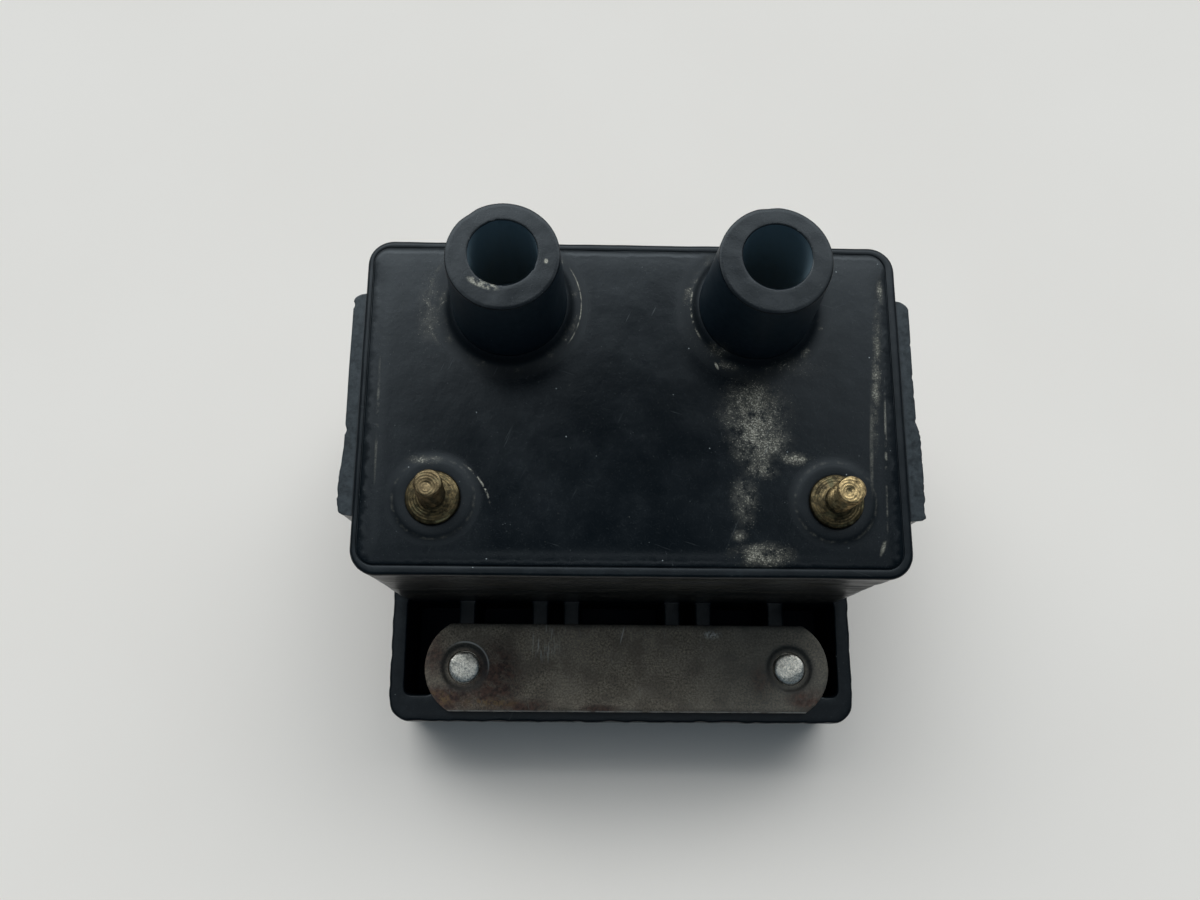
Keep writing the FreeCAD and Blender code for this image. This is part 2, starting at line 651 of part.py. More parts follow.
def rounded_path(points, radius):
    """A wire through the points, each corner replaced by a tangent arc."""
    edges = []
    start = points[0]
    for before, corner, after in zip(points, points[1:], points[2:]):
        back = (before - corner).normalize()
        ahead = (after - corner).normalize()
        half_turn = (math.pi - back.getAngle(ahead)) / 2
        reach = radius * math.tan(half_turn)
        first, last = corner + back * reach, corner + ahead * reach
        bisector = (back + ahead).normalize()
        middle = corner + bisector * (radius / math.cos(half_turn) - radius)
        edges.append(Part.LineSegment(start, first).toShape())
        edges.append(Part.Arc(first, middle, last).toShape())
        start = last
    edges.append(Part.LineSegment(start, points[-1]).toShape())
    return Part.Wire(edges)


def make_lead(label, points):
    """A wire with flat ends that follows the points."""
    path = rounded_path(points, number("lead_bend"))
    section = Part.Circle(points[0], points[1] - points[0], number("lead_radius")).toShape()
    lead = doc.addObject("Part::Feature", label)
    lead.Label = label
    lead.Shape = path.makePipeShell([Part.Wire(section)], True, False)
    return lead


def make_primary_lead(side, sign):
    """From the solder lug's tab straight down, then in to the primary bobbin's end flange."""
    turn = float(sign)
    down_x = turn * number(f"{BOBBIN_HALF} + lead_clear")
    y = number(STUD_Y)
    return make_lead(f"primary_lead_{side}", [
        Vector(down_x, y, number(f"{BOSS_UNDER} - lug_thickness")),
        Vector(down_x, y, number("core_middle")),
        Vector(turn * number(BOBBIN_HALF), y, number("core_middle")),
    ])


def make_ht_lead(side, sign):
    """From the contact's stem out past the winding, down, and in to the secondary bobbin's end."""
    turn = float(sign)
    tower_x = turn * number("tower_spacing / 2")
    down_x = turn * number(f"{BOBBIN_HALF} + lead_clear")
    y = number(TOWER_Y)
    start = number(f"{COVER_UNDER} - tower_root - stud_tail")
    level = start - number("lead_drop")
    finish = number(f"core_middle + core_limb / 2 + {SECONDARY_OUT} - lead_radius")
    return make_lead(f"ht_lead_{side}", [
        Vector(tower_x, y, start),
        Vector(tower_x, y, level),
        Vector(down_x, y, level),
        Vector(down_x, y, finish),
        Vector(turn * number(BOBBIN_HALF), y, finish),
    ])


# ---------------------------------------------------------------------------
# Potting: fills the case round everything in it
# ---------------------------------------------------------------------------

def make_potting(case_parts):
    """The cavity's own shape, less the winding's envelope and every piece that stands in it."""
    filling = new_body("filling")
    round_block(filling, "cavity", "( case_width - 2 * wall )", "( case_length - 2 * wall )",
                "( corner - rim )", "case_floor", COVER_UNDER, y="case_centre")
    block(filling, "recess", f"2 * {CORE_HALF}", "core_stack", "case_floor", COVER_UNDER,
          y="case_centre")
    envelope = new_body("envelope")
    pad(envelope, "winding", limb_sketch(envelope, "outline", FLANGE_OUT, f"-1 * {BOBBIN_HALF}"),
        f"2 * {BOBBIN_HALF}")
    tools = doc.addObject("Part::Compound", "potted_parts")
    tools.Links = [envelope] + case_parts
    potting = doc.addObject("Part::Cut", "potting_compound")
    potting.Label = "potting_compound"
    potting.Base = filling
    potting.Tool = tools
    doc.recompute()
    return potting


def build_all():
    """Every sub-part, in the order in which it is assembled."""
    potted = [make_core_limb(), make_terminal_cover()]
    for side, sign in SIDES:
        potted += [make_yoke(side, sign), make_contact(side, sign), make_stud(side, sign)]
        potted += [make_lug(side, sign), make_primary_lead(side, sign), make_ht_lead(side, sign)]
    windings = [
        make_primary_bobbin(),
        wrap("primary_winding", PRIMARY_IN, PRIMARY_OUT, WINDING_HALF),
        wrap("winding_insulation", PRIMARY_OUT, PAPER_OUT, WINDING_HALF),
        make_secondary_bobbin(),
        make_secondary_winding(),
    ]
    outside = [make_case(), make_strap()]
    outside += [make_pillar(side, sign) for side, sign in SIDES]
    return outside + potted + windings + [make_potting(potted)]


sub_parts = build_all()
doc.recompute()
for thing in doc.Objects:
    if {"Invalid", "Error"} & set(thing.State):
        raise RuntimeError(f"{thing.Label} has state {thing.State}")
os.makedirs("parts", exist_ok=True)
for thing in sub_parts:
    shape = thing.Shape
    if shape.isNull() or not shape.isValid():
        raise RuntimeError(f"{thing.Label} has no valid shape")
    shape.exportStep(f"parts/{thing.Label}.step")
    box = shape.BoundBox
    print(f"{thing.Label:24s} solids {len(shape.Solids)} volume {shape.Volume:10.1f} "
          f"x {box.XMin:.2f} {box.XMax:.2f} y {box.YMin:.2f} {box.YMax:.2f} z {box.ZMin:.2f} {box.ZMax:.2f}")
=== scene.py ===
"""A worn double-ended ignition coil lying on its back.

Shapes are worked out in millimetres in the part frame and turned into metres when a mesh is made.
"""
import json
import math

import bmesh
import bpy
import numpy as np
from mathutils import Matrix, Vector, noise
from mathutils.geometry import delaunay_2d_cdt


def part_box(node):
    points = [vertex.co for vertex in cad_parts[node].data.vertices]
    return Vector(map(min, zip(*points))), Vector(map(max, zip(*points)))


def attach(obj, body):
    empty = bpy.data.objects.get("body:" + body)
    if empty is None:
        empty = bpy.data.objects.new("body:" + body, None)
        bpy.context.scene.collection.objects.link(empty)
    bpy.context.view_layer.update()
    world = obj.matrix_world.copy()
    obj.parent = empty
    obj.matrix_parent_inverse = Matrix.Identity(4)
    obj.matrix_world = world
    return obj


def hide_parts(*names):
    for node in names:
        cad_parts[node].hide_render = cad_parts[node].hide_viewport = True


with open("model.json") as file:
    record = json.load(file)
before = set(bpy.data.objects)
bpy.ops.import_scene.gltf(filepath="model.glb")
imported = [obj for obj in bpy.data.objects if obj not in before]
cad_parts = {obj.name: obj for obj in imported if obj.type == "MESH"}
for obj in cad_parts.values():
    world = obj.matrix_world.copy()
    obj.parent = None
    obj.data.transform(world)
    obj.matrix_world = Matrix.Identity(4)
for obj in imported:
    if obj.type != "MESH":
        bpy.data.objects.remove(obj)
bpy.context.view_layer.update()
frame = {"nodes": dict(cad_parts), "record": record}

MM = 0.001
RANDOM = np.random.default_rng(11)


def box_mm(node):
    low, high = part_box(node)
    return np.array(low) / MM, np.array(high) / MM


MOUNTS = {mount["name"]: np.array(mount["pos_m"]) / MM for mount in frame["record"]["mounts"]}
COVER_LOW, COVER_HIGH = box_mm("terminal_cover")
CASE_LOW, CASE_HIGH = box_mm("case")
STRAP_LOW, STRAP_HIGH = box_mm("mounting_strap")

# ---- Main planes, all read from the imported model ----
RIM_STAND_OFF = 1.55  # CAD cover's edge to the outside of the case
HALF_X = COVER_HIGH[0] + RIM_STAND_OFF
WALL_NEAR = COVER_LOW[1] - RIM_STAND_OFF
WALL_FAR = CASE_HIGH[1]
MIDDLE_Y = (WALL_NEAR + WALL_FAR) / 2
HALF_Y = (WALL_FAR - WALL_NEAR) / 2
RIM_Z = CASE_HIGH[2]
FACE_Z = RIM_Z + 0.2
SEAT_Z = RIM_Z - 4.6
FOOT_Z = STRAP_LOW[2]
FOOT_NEAR = CASE_LOW[1]
TOWER_TOP = COVER_HIGH[2]
CORNER = 4.0
PILLAR_REACH = 28.6  # from the middle of the strap to each pillar
LIGHT_COLOUR = (0.86, 0.98, 1.06)
ROOM_COLOUR = (0.055, 0.090, 0.125)
STREAK_TURN = -4.5  # lean of the long worn streak, degrees
WAVE_SCALE = 0.314159  # gives the wave texture one ridge per unit
GROOVE = 0.42  # pitch of the turning marks on the brass
ENDLESS = 1e9  # makes a ball so tall that it is a cylinder
TOWERS = [MOUNTS["tower_bore_left"], MOUNTS["tower_bore_right"]]
STUDS = [MOUNTS["primary_stud_left"], MOUNTS["primary_stud_right"]]


# ---- Mesh helpers ----

def wobble(points, size, stretch=(1.0, 1.0, 1.0), shift=0.0):
    """Smooth noise from 0 to 1 at each point. The size is the width of its bumps in millimetres."""
    scale = np.array([1.0 / (size * s) for s in stretch])
    return np.array([0.5 + 0.5 * noise.noise(Vector(p * scale + shift)) for p in np.asarray(points)])


def clamp(values):
    return np.clip(values, 0, 1)


def rectangle(low, high, radius):
    """Corners (x, y, radius) for rounded_polygon."""
    return [(low[0], low[1], radius), (high[0], low[1], radius),
            (high[0], high[1], radius), (low[0], high[1], radius)]


def rounded_polygon(corners, spacing):
    """Closed loop through corners (x, y, radius): points about evenly spaced, and outward normals."""
    corners = [(np.array(c[:2], float), c[2]) for c in corners]
    found = []
    count = len(corners)
    arcs = []
    for i in range(count):
        before, (here, radius), after = corners[i - 1][0], corners[i], corners[(i + 1) % count][0]
        back = (before - here) / np.linalg.norm(before - here)
        ahead = (after - here) / np.linalg.norm(after - here)
        if radius <= 0:
            arcs.append([here])
            continue
        half = math.acos(max(-1.0, min(1.0, float(back @ ahead)))) / 2
        reach = radius / math.tan(half)
        centre = here + (back + ahead) / np.linalg.norm(back + ahead) * radius / math.sin(half)
        first, last = here + back * reach, here + ahead * reach
        start = math.atan2(*(first - centre)[::-1])
        turn = (math.atan2(*(last - centre)[::-1]) - start + math.pi) % (2 * math.pi) - math.pi
        steps = max(3, round(abs(turn) * radius / spacing * 1.4))
        arcs.append([centre + radius * np.array([math.cos(start + turn * k / steps),
                                                 math.sin(start + turn * k / steps)])
                     for k in range(steps + 1)])
    for i in range(count):
        found.extend(arcs[i])
        start, end = arcs[i][-1], arcs[(i + 1) % count][0]
        steps = max(1, round(np.linalg.norm(end - start) / spacing))
        found.extend(start + (end - start) * k / steps for k in range(1, steps))
    points = np.array(found)
    along = np.roll(points, -1, 0) - np.roll(points, 1, 0)
    along /= np.linalg.norm(along, axis=1)[:, None]
    return points, np.column_stack([along[:, 1], -along[:, 0]])


def round_angles(count):
    return np.arange(count) * 2 * math.pi / count


def circle(centre, radius, count):
    angle = round_angles(count)
    return np.column_stack([centre[0] + radius * np.cos(angle), centre[1] + radius * np.sin(angle)])


def polar(centre, radius, z, count):
    """A level ring round the centre. Radius and height are one number or one per point."""
    return lift(circle(centre, radius, count), z)


def lift(flat, z):
    """The flat points at height z, which is one number or one per point."""
    return np.column_stack([flat, np.broadcast_to(z, len(flat))])


def inside(points, ring):
    """Which points are inside the closed ring, by crossings."""
    x, y = points[:, 0][:, None], points[:, 1][:, None]
    ax, ay = ring[:, 0][None], ring[:, 1][None]
    bx, by = np.roll(ring[:, 0], -1)[None], np.roll(ring[:, 1], -1)[None]
    crossing = (ay > y) != (by > y)
    at = ax + (y - ay) * (bx - ax) / np.where(by == ay, 1e-12, by - ay)
    return (crossing & (x < at)).sum(1) % 2 == 1


def quarter(radius, steps):
    """Pairs (sine, 1 - cosine) times the radius, from 0 to 90 degrees."""
    turns = [math.pi / 2 * k / steps for k in range(steps + 1)]
    return [(radius * math.sin(t), radius * (1 - math.cos(t))) for t in turns]


def wall_levels(bottom, top, height, step):
    """Pairs (inset, z) up a wall with a rounded bottom edge and a rounded top edge."""
    return ([(bottom - s, c) for s, c in quarter(bottom, 4)]
            + [(0.0, z) for z in span(bottom, height - top, step)]
            + [(c, height - top + s) for s, c in quarter(top, 4)[1:]])


def span(start, end, step):
    count = max(1, math.ceil(abs(end - start) / step))
    return [start + (end - start) * k / count for k in range(1, count + 1)]


class Shell:
    """A closed surface that grows ring by ring."""

    def __init__(self):
        self.points = []
        self.faces = []

    def ring(self, points):
        start = len(self.points)
        self.points.extend(np.asarray(points, float))
        return list(range(start, len(self.points)))

    def bridge(self, low, high):
        for i in range(len(low)):
            j = (i + 1) % len(low)
            self.faces.append((low[i], low[j], high[j], high[i]))

    def loft(self, rings):
        made = [self.ring(r) for r in rings]
        for low, high in zip(made, made[1:]):
            self.bridge(low, high)
        return made[0], made[-1]

    def solid(self, rings):
        """Rings closed by a flat face at each end."""
        for end in self.loft(rings):
            self.fill(end)

    def fill(self, outer, holes=(), height=None, spacing=0.0, extra=()):
        """Triangles between the outer and the hole rings, with more points inside if there is a height."""
        rings = [outer, *holes]
        flat = [np.array([self.points[i][:2] for i in r]) for r in rings]
        index = [i for r in rings for i in r]
        known = np.concatenate(flat)
        added = np.zeros((0, 2))
        if height is not None:
            low, high = flat[0].min(0), flat[0].max(0)
            xs = np.arange(low[0], high[0], spacing)
            ys = np.arange(low[1], high[1], spacing * 0.87)
            grid = np.array([(x + (k % 2) * spacing / 2, y) for k, y in enumerate(ys) for x in xs])
            grid += RANDOM.uniform(-0.16, 0.16, grid.shape) * spacing
            extra = np.array(extra) if len(extra) else np.zeros((0, 2))
            fixed = np.concatenate([known, extra])
            near = np.array([np.min(np.sum((fixed - g) ** 2, 1)) for g in grid])
            grid = grid[near > (0.55 * spacing) ** 2]
            added = np.concatenate([extra, grid])
            keep = inside(added, flat[0])
            for hole in flat[1:]:
                keep &= ~inside(added, hole)
            added = added[keep]
            near = np.array([np.min(np.sum((known - a) ** 2, 1)) for a in added])
            added = added[near > 0.04]
            index += self.ring(lift(added, height(added)))
        everything = np.concatenate([known, added])
        edges, start = [], 0
        for r in rings:
            edges += [(start + i, start + (i + 1) % len(r)) for i in range(len(r))]
            start += len(r)
        result = delaunay_2d_cdt([Vector(p) for p in everything], edges, [], 0, 1e-7)
        places, triangles, origin = result[0], result[2], result[3]
        level = float(np.mean([self.points[i][2] for i in outer]))
        found = []
        for at, known_as in zip(places, origin):
            if known_as:
                found.append(index[known_as[0]])
            else:
                found += self.ring([(at[0], at[1], level)])
        centres = np.array([np.mean([places[i][:] for i in t], 0) for t in triangles])
        keep = inside(centres, flat[0])
        for hole in flat[1:]:
            keep &= ~inside(centres, hole)
        for t, wanted in zip(triangles, keep):
            if wanted:
                self.faces.append(tuple(found[i] for i in t))

    def mesh(self, name, sharp=38.0):
        data = bpy.data.meshes.new(name)
        data.from_pydata([tuple(p * MM) for p in self.points], [], self.faces)
        return finished(data, sharp)


def finished(data, sharp=38.0):
    """Outward normals, smooth faces, and hard edges only where the surface really turns."""
    work = bmesh.new()
    work.from_mesh(data)
    bmesh.ops.remove_doubles(work, verts=work.verts, dist=2e-6)
    bmesh.ops.dissolve_degenerate(work, edges=work.edges, dist=1e-7)
    loose = [v for v in work.verts if not v.link_faces]
    bmesh.ops.delete(work, geom=loose, context="VERTS")
    bmesh.ops.recalc_face_normals(work, faces=work.faces)
    for face in work.faces:
        face.smooth = True
    for edge in work.edges:
        edge.smooth = not (len(edge.link_faces) == 2 and edge.calc_face_angle(0.0) > math.radians(sharp))
    work.to_mesh(data)
    work.free()
    return data


def dress(data, material):
    data.materials.clear()
    data.materials.append(material)


def new_object(name, data, material=None):
    thing = bpy.data.objects.new(name, data)
    bpy.context.scene.collection.objects.link(thing)
    if material is not None:
        dress(data, material)
    return thing


def combine(target, tool, operation):
    """Joins or cuts exactly, and removes the tool."""
    change = target.modifiers.new("combine", "BOOLEAN")
    change.operation = operation
    change.solver = "EXACT"
    change.object = tool
    graph = bpy.context.evaluated_depsgraph_get()
    data = bpy.data.meshes.new_from_object(target.evaluated_get(graph))
    target.modifiers.clear()
    target.data = data
    bpy.data.objects.remove(tool)


def place(thing, slot, *nodes):
    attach(thing, "root")
    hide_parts(*nodes)


# ---- Materials ----

class Graph:
    """Shader nodes, each made and linked in one call."""

    def __init__(self, tree):
        self.tree = tree

    def put(self, socket, value):
        if isinstance(value, bpy.types.NodeSocket):
            self.tree.links.new(value, socket)
        else:
            socket.default_value = value

    def node(self, kind, values=(), **settings):
        made = self.tree.nodes.new("ShaderNode" + kind)
        for key, value in settings.items():
            setattr(made, key, value)
        for key, value in dict(values).items():
            self.put(made.inputs[key], value)
        return made

    def math(self, operation, a, b=0.0):
        return self.node("Math", {0: a, 1: b}, operation=operation).outputs[0]

    def times(self, first, *others):
        for value in others:
            first = self.math("MULTIPLY", first, value)
        return first

    def most(self, first, *others):
        for value in others:
            first = self.math("MAXIMUM", first, value)
        return first


class Paint(Graph):
    """One procedural material. Sizes and places in it are millimetres of the part frame."""

    def __init__(self, name, metallic=0.0):
        self.material = bpy.data.materials.new(name)
        self.material.use_nodes = True
        super().__init__(self.material.node_tree)
        self.shader = self.tree.nodes["Principled BSDF"]
        self.shader.inputs["Metallic"].default_value = metallic
        self.coordinates = self.node("TexCoord").outputs["Object"]

    def space(self, size, stretch=(1, 1, 1), turn=(0, 0, 0), shift=(0, 0, 0)):
        """Coordinates in which one unit is size millimetres."""
        turned = self.node("Mapping", {"Vector": self.coordinates,
                                       "Rotation": [math.radians(t) for t in turn]}, vector_type="POINT")
        scale = [1 / (MM * size * s) for s in stretch]
        return self.node("Mapping", {"Vector": turned.outputs[0], "Scale": scale, "Location": shift},
                         vector_type="POINT").outputs[0]

    def noise(self, size, detail=3.0, roughness=0.55, distortion=0.0, **space):
        return self.node("TexNoise", {
            "Vector": self.space(size, **space), "Scale": 1.0, "Detail": detail, "Roughness": roughness,
            "Distortion": distortion}).outputs["Fac"]

    def cells(self, size, output="Distance", feature="F1"):
        return self.node("TexVoronoi", {"Vector": self.space(size), "Scale": 1.0},
                         feature=feature).outputs[output]

    def stripes(self, pitch, axis):
        """Fine parallel ridges, one each pitch along the axis."""
        return self.node("TexWave", {"Vector": self.space(pitch), "Scale": WAVE_SCALE},
                         bands_direction=axis, wave_profile="SIN").outputs["Fac"]

    def step(self, value, low, high, out_low=0.0, out_high=1.0):
        return self.node("MapRange", {
            "Value": value, "From Min": low, "From Max": high, "To Min": out_low, "To Max": out_high},
            interpolation_type="SMOOTHSTEP").outputs[0]

    def patchy(self, low, high, *size, **space):
        """Noise of that size and detail, cut to 0 below low and 1 above high."""
        return self.step(self.noise(*size, **space), low, high)

    def axis(self, name):
        """The coordinate along one axis, in millimetres."""
        return self.node("SeparateXYZ", {0: self.space(1.0)}).outputs[name]

    def along(self, name, low, high):
        """0 before low and 1 past high on one axis. The other way round if low is the larger."""
        return self.step(self.axis(name), low, high)

    def blend(self, share, a, b):
        a, b = ((*c, 1) if isinstance(c, tuple) else c for c in (a, b))
        return self.node("Mix", {"Factor": share, "A": a, "B": b}, data_type="RGBA").outputs["Result"]

    def distance(self, centre, radii, turn=0.0):
        """How far each point is from the centre, counted in radii."""
        moved = self.node("Mapping", {
            "Vector": self.coordinates, "Location": [c * MM for c in centre],
            "Rotation": (0, 0, math.radians(turn)), "Scale": [r * MM for r in radii]}, vector_type="TEXTURE")
        return self.node("VectorMath", {0: moved.outputs[0]}, operation="LENGTH").outputs["Value"]

    def spot(self, centre, radii, soft=0.5, turn=0.0):
        """1 in the middle of an ellipsoid, 0 outside it."""
        return self.step(self.distance(centre, radii, turn), 1.0, soft)

    def radius(self, centre):
        """Millimetres from an upright line."""
        return self.distance((centre[0], centre[1], 0.0), (1.0, 1.0, ENDLESS))

    def ring(self, centre, radius, width):
        """1 on an upright cylinder of that radius, fading over the width."""
        away = self.math("ABSOLUTE", self.math("SUBTRACT", self.radius(centre), radius))
        return self.step(away, width, 0.0)

    def finish(self, colour, roughness, height=None, depth=0.0, fine=None, fine_depth=0.0):
        self.put(self.shader.inputs["Base Color"], colour)
        self.put(self.shader.inputs["Roughness"], roughness)
        for layer, amount in ((height, depth), (fine, fine_depth)):
            if layer is not None:
                bump = self.node("Bump", {"Distance": amount * MM, "Height": layer})
                if self.shader.inputs["Normal"].is_linked:
                    self.put(bump.inputs["Normal"], self.shader.inputs["Normal"].links[0].from_socket)
                self.put(self.shader.inputs["Normal"], bump.outputs[0])
        return self.material


def black_moulding(name, on_cover):
    """Blue-black moulding with dust, specks, fine scratches and chalky rubbed places, with painted highlights
    along the cover's edges, painted light on the tower walls and in the bores, painted sheen on the pad tops,
    painted shade in the foot's pockets and a painted reflection low on the near wall.
    """
    p = Paint(name)
    cloud = p.noise(9.0, 4)
    mottle = p.noise(0.9, 6, 0.65)
    grain = p.noise(0.22, 3, 0.6)
    powder = p.noise(0.23, 5, 0.75)
    colour = p.blend(p.step(cloud, 0.3, 0.7), (0.0010, 0.0021, 0.0031), (0.0021, 0.0034, 0.0046))
    film = p.times(p.step(mottle, 0.40, 0.72), p.step(cloud, 0.38, 0.72))
    colour = p.blend(p.times(film, 0.10 if on_cover else 0.5), colour, (0.010, 0.014, 0.016))
    colour = p.blend(p.times(p.step(powder, 0.54, 0.70), 0.10), colour, (0.020, 0.030, 0.033))
    chosen = p.node("SeparateColor")
    p.put(chosen.inputs[0], p.cells(2.3, "Color"))
    specks = p.times(p.step(p.cells(2.3), 0.055, 0.02), p.step(chosen.outputs[0], 0.62, 0.66))
    tiny = p.times(p.step(p.cells(0.8), 0.11, 0.03), p.patchy(0.5, 0.72, 5.0, 3))
    lines = p.patchy(0.70, 0.78, 0.35, 2, 0.5, 0.4, stretch=(1, 26, 1), turn=(0, 0, 24))
    lines_two = p.patchy(0.715, 0.79, 0.33, 2, 0.5, 0.4, stretch=(34, 1, 1), turn=(0, 0, 17))
    lines = p.times(p.most(lines, lines_two), p.patchy(0.45, 0.65, 7.0, 2))
    clumps = p.patchy(0.22, 0.64, 1.9, 8, 0.72)
    density = p.times(p.step(cloud, 0.58, 0.85), 0.10)
    if on_cover:
        top = FACE_Z
        # rubbed places: x, y, half width, half length, strength
        patches = [
            (18.2, 9.4, 8.6, 8.2, 1.0), (18.8, 5.2, 7.6, 7.0, 0.95), (24.0, 2.2, 4.0, 1.6, 0.95),
            (19.0, 0.6, 4.6, 2.6, 0.75), (16.4, -4.0, 3.8, 7.0, 0.62), (18.8, -12.2, 7.4, 3.0, 0.95),
            (15.6, -9.4, 2.2, 1.6, 0.85), (-30.6, 1.5, 4.4, 1.3, 0.75), (-31.0, 25.0, 3.4, 11.0, 0.50),
            (13.4, 19.2, 3.8, 2.4, 0.62), (37.0, 16.0, 1.3, 21.0, 0.80), (38.4, 29.0, 1.0, 4.0, 0.80),
            (24.5, 16.5, 8.0, 3.4, 0.40),
        ]
        density = p.most(density, *[
            p.times(p.spot((x, y, top), (wide, long, 6), 0.0, STREAK_TURN if long > 15 else 0.0), strength)
            for x, y, wide, long, strength in patches])
        left, right = TOWERS
        for tower in TOWERS:
            rubbed = p.times(p.ring(tower, 10.4, 1.5), p.patchy(0.42, 0.70, 2.6, 3), 0.62)
            density = p.most(density, rubbed)
        beside = p.spot((left[0] - 11, left[1], top), (5, 10, 3), 0.4)
        density = p.most(density, p.times(p.ring(left, 12.6, 0.9), beside, 0.5))
    density = p.times(density, clumps)
    chalk_and_painted_sheen = p.times(p.step(p.math("ADD", powder, p.times(density, 0.28)), 0.655, 0.775), 0.85)
    haze = p.times(p.step(density, 0.06, 0.75), 0.66)
    if on_cover:
        arc = p.times(p.ring(left, 10.9, 0.12), p.spot((left[0] + 10.9, left[1], top), (3.2, 8.2, 3), 0.75),
                      p.patchy(0.34, 0.50, 1.6, 4, 0.7))
        faint = p.times(p.ring(right, 9.9, 0.20),
                        p.spot((right[0] - 9.9, right[1] - 0.6, top), (2.6, 6.5, 3), 0.6),
                        p.patchy(0.46, 0.60, 1.0, 5, 0.7), 0.8)
        curl = p.times(p.ring((-30.05, -7.15), 9.43, 0.20), p.spot((-22.6, -1.5, top), (3.4, 4.4, 3), 0.6),
                       p.patchy(0.42, 0.56, 1.0, 5, 0.7), 0.8)
        rings = [p.times(p.ring(s, 6.0, 0.35), p.patchy(0.44, 0.64, 1.2, 4, 0.7), 0.10) for s in STUDS]
        broken = p.patchy(0.42, 0.58, 2.4, 4)
        # painted highlights along the cover's rounded right and left edges, together with the worn streak beside
        # the right edge
        shine = p.most(*[p.times(p.spot((x, y, top), (wide, long, 6), 0.2, turn=turn), broken, amount)
                         for x, y, wide, long, turn, amount in (
                             (35.6, 4.0, 0.40, 9.0, -3.0, 0.22), (37.7, 3.0, 0.26, 15.0, -2.5, 0.50),
                             (36.4, -11.0, 0.40, 1.6, -20.0, 0.60), (-38.0, 8.0, 0.30, 13.0, 1.0, 0.26))])
        fleck = p.spot((12.7, 16.6, top), (0.25, 0.75, 3), 0.5, turn=25.0)
        chip = p.times(p.spot((left[0] - 2.6, left[1] - 4.1, TOWER_TOP), (2.7, 0.75, 1.0), 0.5, turn=-20.0),
                       p.step(mottle, 0.42, 0.55))
        nick = p.spot((left[0] + 6.0, left[1] - 0.7, TOWER_TOP), (0.35, 0.45, 1.0), 0.5)
        chalk_and_painted_sheen = p.most(chalk_and_painted_sheen, arc, faint, curl, shine, chip, nick, fleck, *rings)
        gloss = 0.17
        body = p.times(p.along("Z", FACE_Z + 0.5, FACE_Z + 2.2),
                       p.along("Z", TOWER_TOP - 0.1, TOWER_TOP - 0.3))
        # the tower walls get a lighter blue-grey than the face: painted light standing in for the soft light
        # that reaches them
        blue = p.blend(p.step(mottle, 0.3, 0.7), (0.008, 0.015, 0.022), (0.015, 0.025, 0.033))
        colour = p.blend(body, colour, blue)
        dulled = [(*stud[:2], 7.6) for stud in STUDS] + [(*tower[:2], 13.0) for tower in TOWERS]
        worn = p.most(body, *[p.spot((x, y, top), (wide, wide, 3), 0.8) for x, y, wide in dulled])
    else:
        shaded_pockets = p.times(p.along("Z", 18.3, 17.2), p.along("Z", 1.0, 2.0),
                         p.along("Y", WALL_NEAR + 1.4, WALL_NEAR + 0.4),
                         p.along("Y", FOOT_NEAR + 2.0, FOOT_NEAR + 3.0),
                         p.step(p.math("ABSOLUTE", p.axis("X")), HALF_X - 1.0, HALF_X - 2.0))
        # painted shade: the foot's pockets get a darker blue-black
        colour = p.blend(shaded_pockets, colour, (0.0002, 0.0016, 0.0060))
        gloss = 0.18
        pad_top_sheen = p.times(p.step(p.math("ABSOLUTE", p.axis("X")), HALF_X - 0.1, HALF_X + 0.3),
                          p.along("Z", RIM_Z - 1.2, RIM_Z - 0.7))
        # painted sheen: the pad tops are made lighter grey
        colour = p.blend(p.times(pad_top_sheen, p.step(mottle, 0.2, 0.7)), colour, (0.031, 0.035, 0.037))
        worn = p.most(0.45, p.times(pad_top_sheen, 0.9), p.times(shaded_pockets, 2.0))
        # a pale band low on the near wall: painted reflection, mixed into the chalk marks
        low_band = p.times(p.along("Z", 33.0, 30.0), p.along("Z", 19.0, 21.0))
        front = p.along("Y", -14.0, -15.2)
        chalk_and_painted_sheen = p.most(chalk_and_painted_sheen, p.times(low_band, front, p.step(mottle, 0.30, 0.70), 0.09))
        streaks = p.noise(1.1, 4, 0.6, stretch=(16, 1, 1))
        upper = p.times(front, p.along("Z", 32.0, 34.0), p.along("Z", RIM_Z - 0.4, RIM_Z - 1.2))
        colour = p.blend(p.times(upper, p.step(streaks, 0.48, 0.60)), colour, (0.022, 0.021, 0.017))
        worn = p.most(worn, p.times(upper, p.step(streaks, 0.56, 0.40)))
    p.put(p.shader.inputs["Specular IOR Level"], gloss)
    colour = p.blend(haze, colour, (0.066, 0.058, 0.044))
    white = p.blend(p.step(grain, 0.4, 0.6), (0.15, 0.130, 0.097), (0.49, 0.435, 0.345))
    colour = p.blend(p.times(chalk_and_painted_sheen, 0.9), colour, white)
    dust = p.times(p.patchy(0.56, 0.68, 0.19, 4, 0.7), p.step(mottle, 0.34, 0.60))
    marks = p.most(p.times(specks, 0.7), p.times(tiny, 0.25), p.times(lines, 0.10), p.times(dust, 0.030))
    colour = p.blend(marks, colour, (0.40, 0.41, 0.39))
    if on_cover:
        # pale blue-grey on the bore walls below the mouth: painted light bounced inside the bores
        for centre in TOWERS:
            bore = p.spot((centre[0], centre[1] + 0.5, TOWER_TOP - 10.5), (5.15, 5.15, 1000.0), 0.985)
            below_mouth = p.along("Z", TOWER_TOP - 0.05, TOWER_TOP - 0.25)
            colour = p.blend(p.times(bore, below_mouth), colour, (0.165, 0.210, 0.232))
    roughness = p.math("ADD", p.step(cloud, 0.3, 0.7, 0.15, 0.22),
                       p.times(p.most(chalk_and_painted_sheen, haze, p.times(film, 0.10), p.times(worn, 0.7)), 0.40))
    fine = p.math("ADD", grain, p.times(lines, -0.6))
    return p.finish(colour, roughness, p.noise(2.2, 4, 0.6), 0.022, fine, 0.0045)


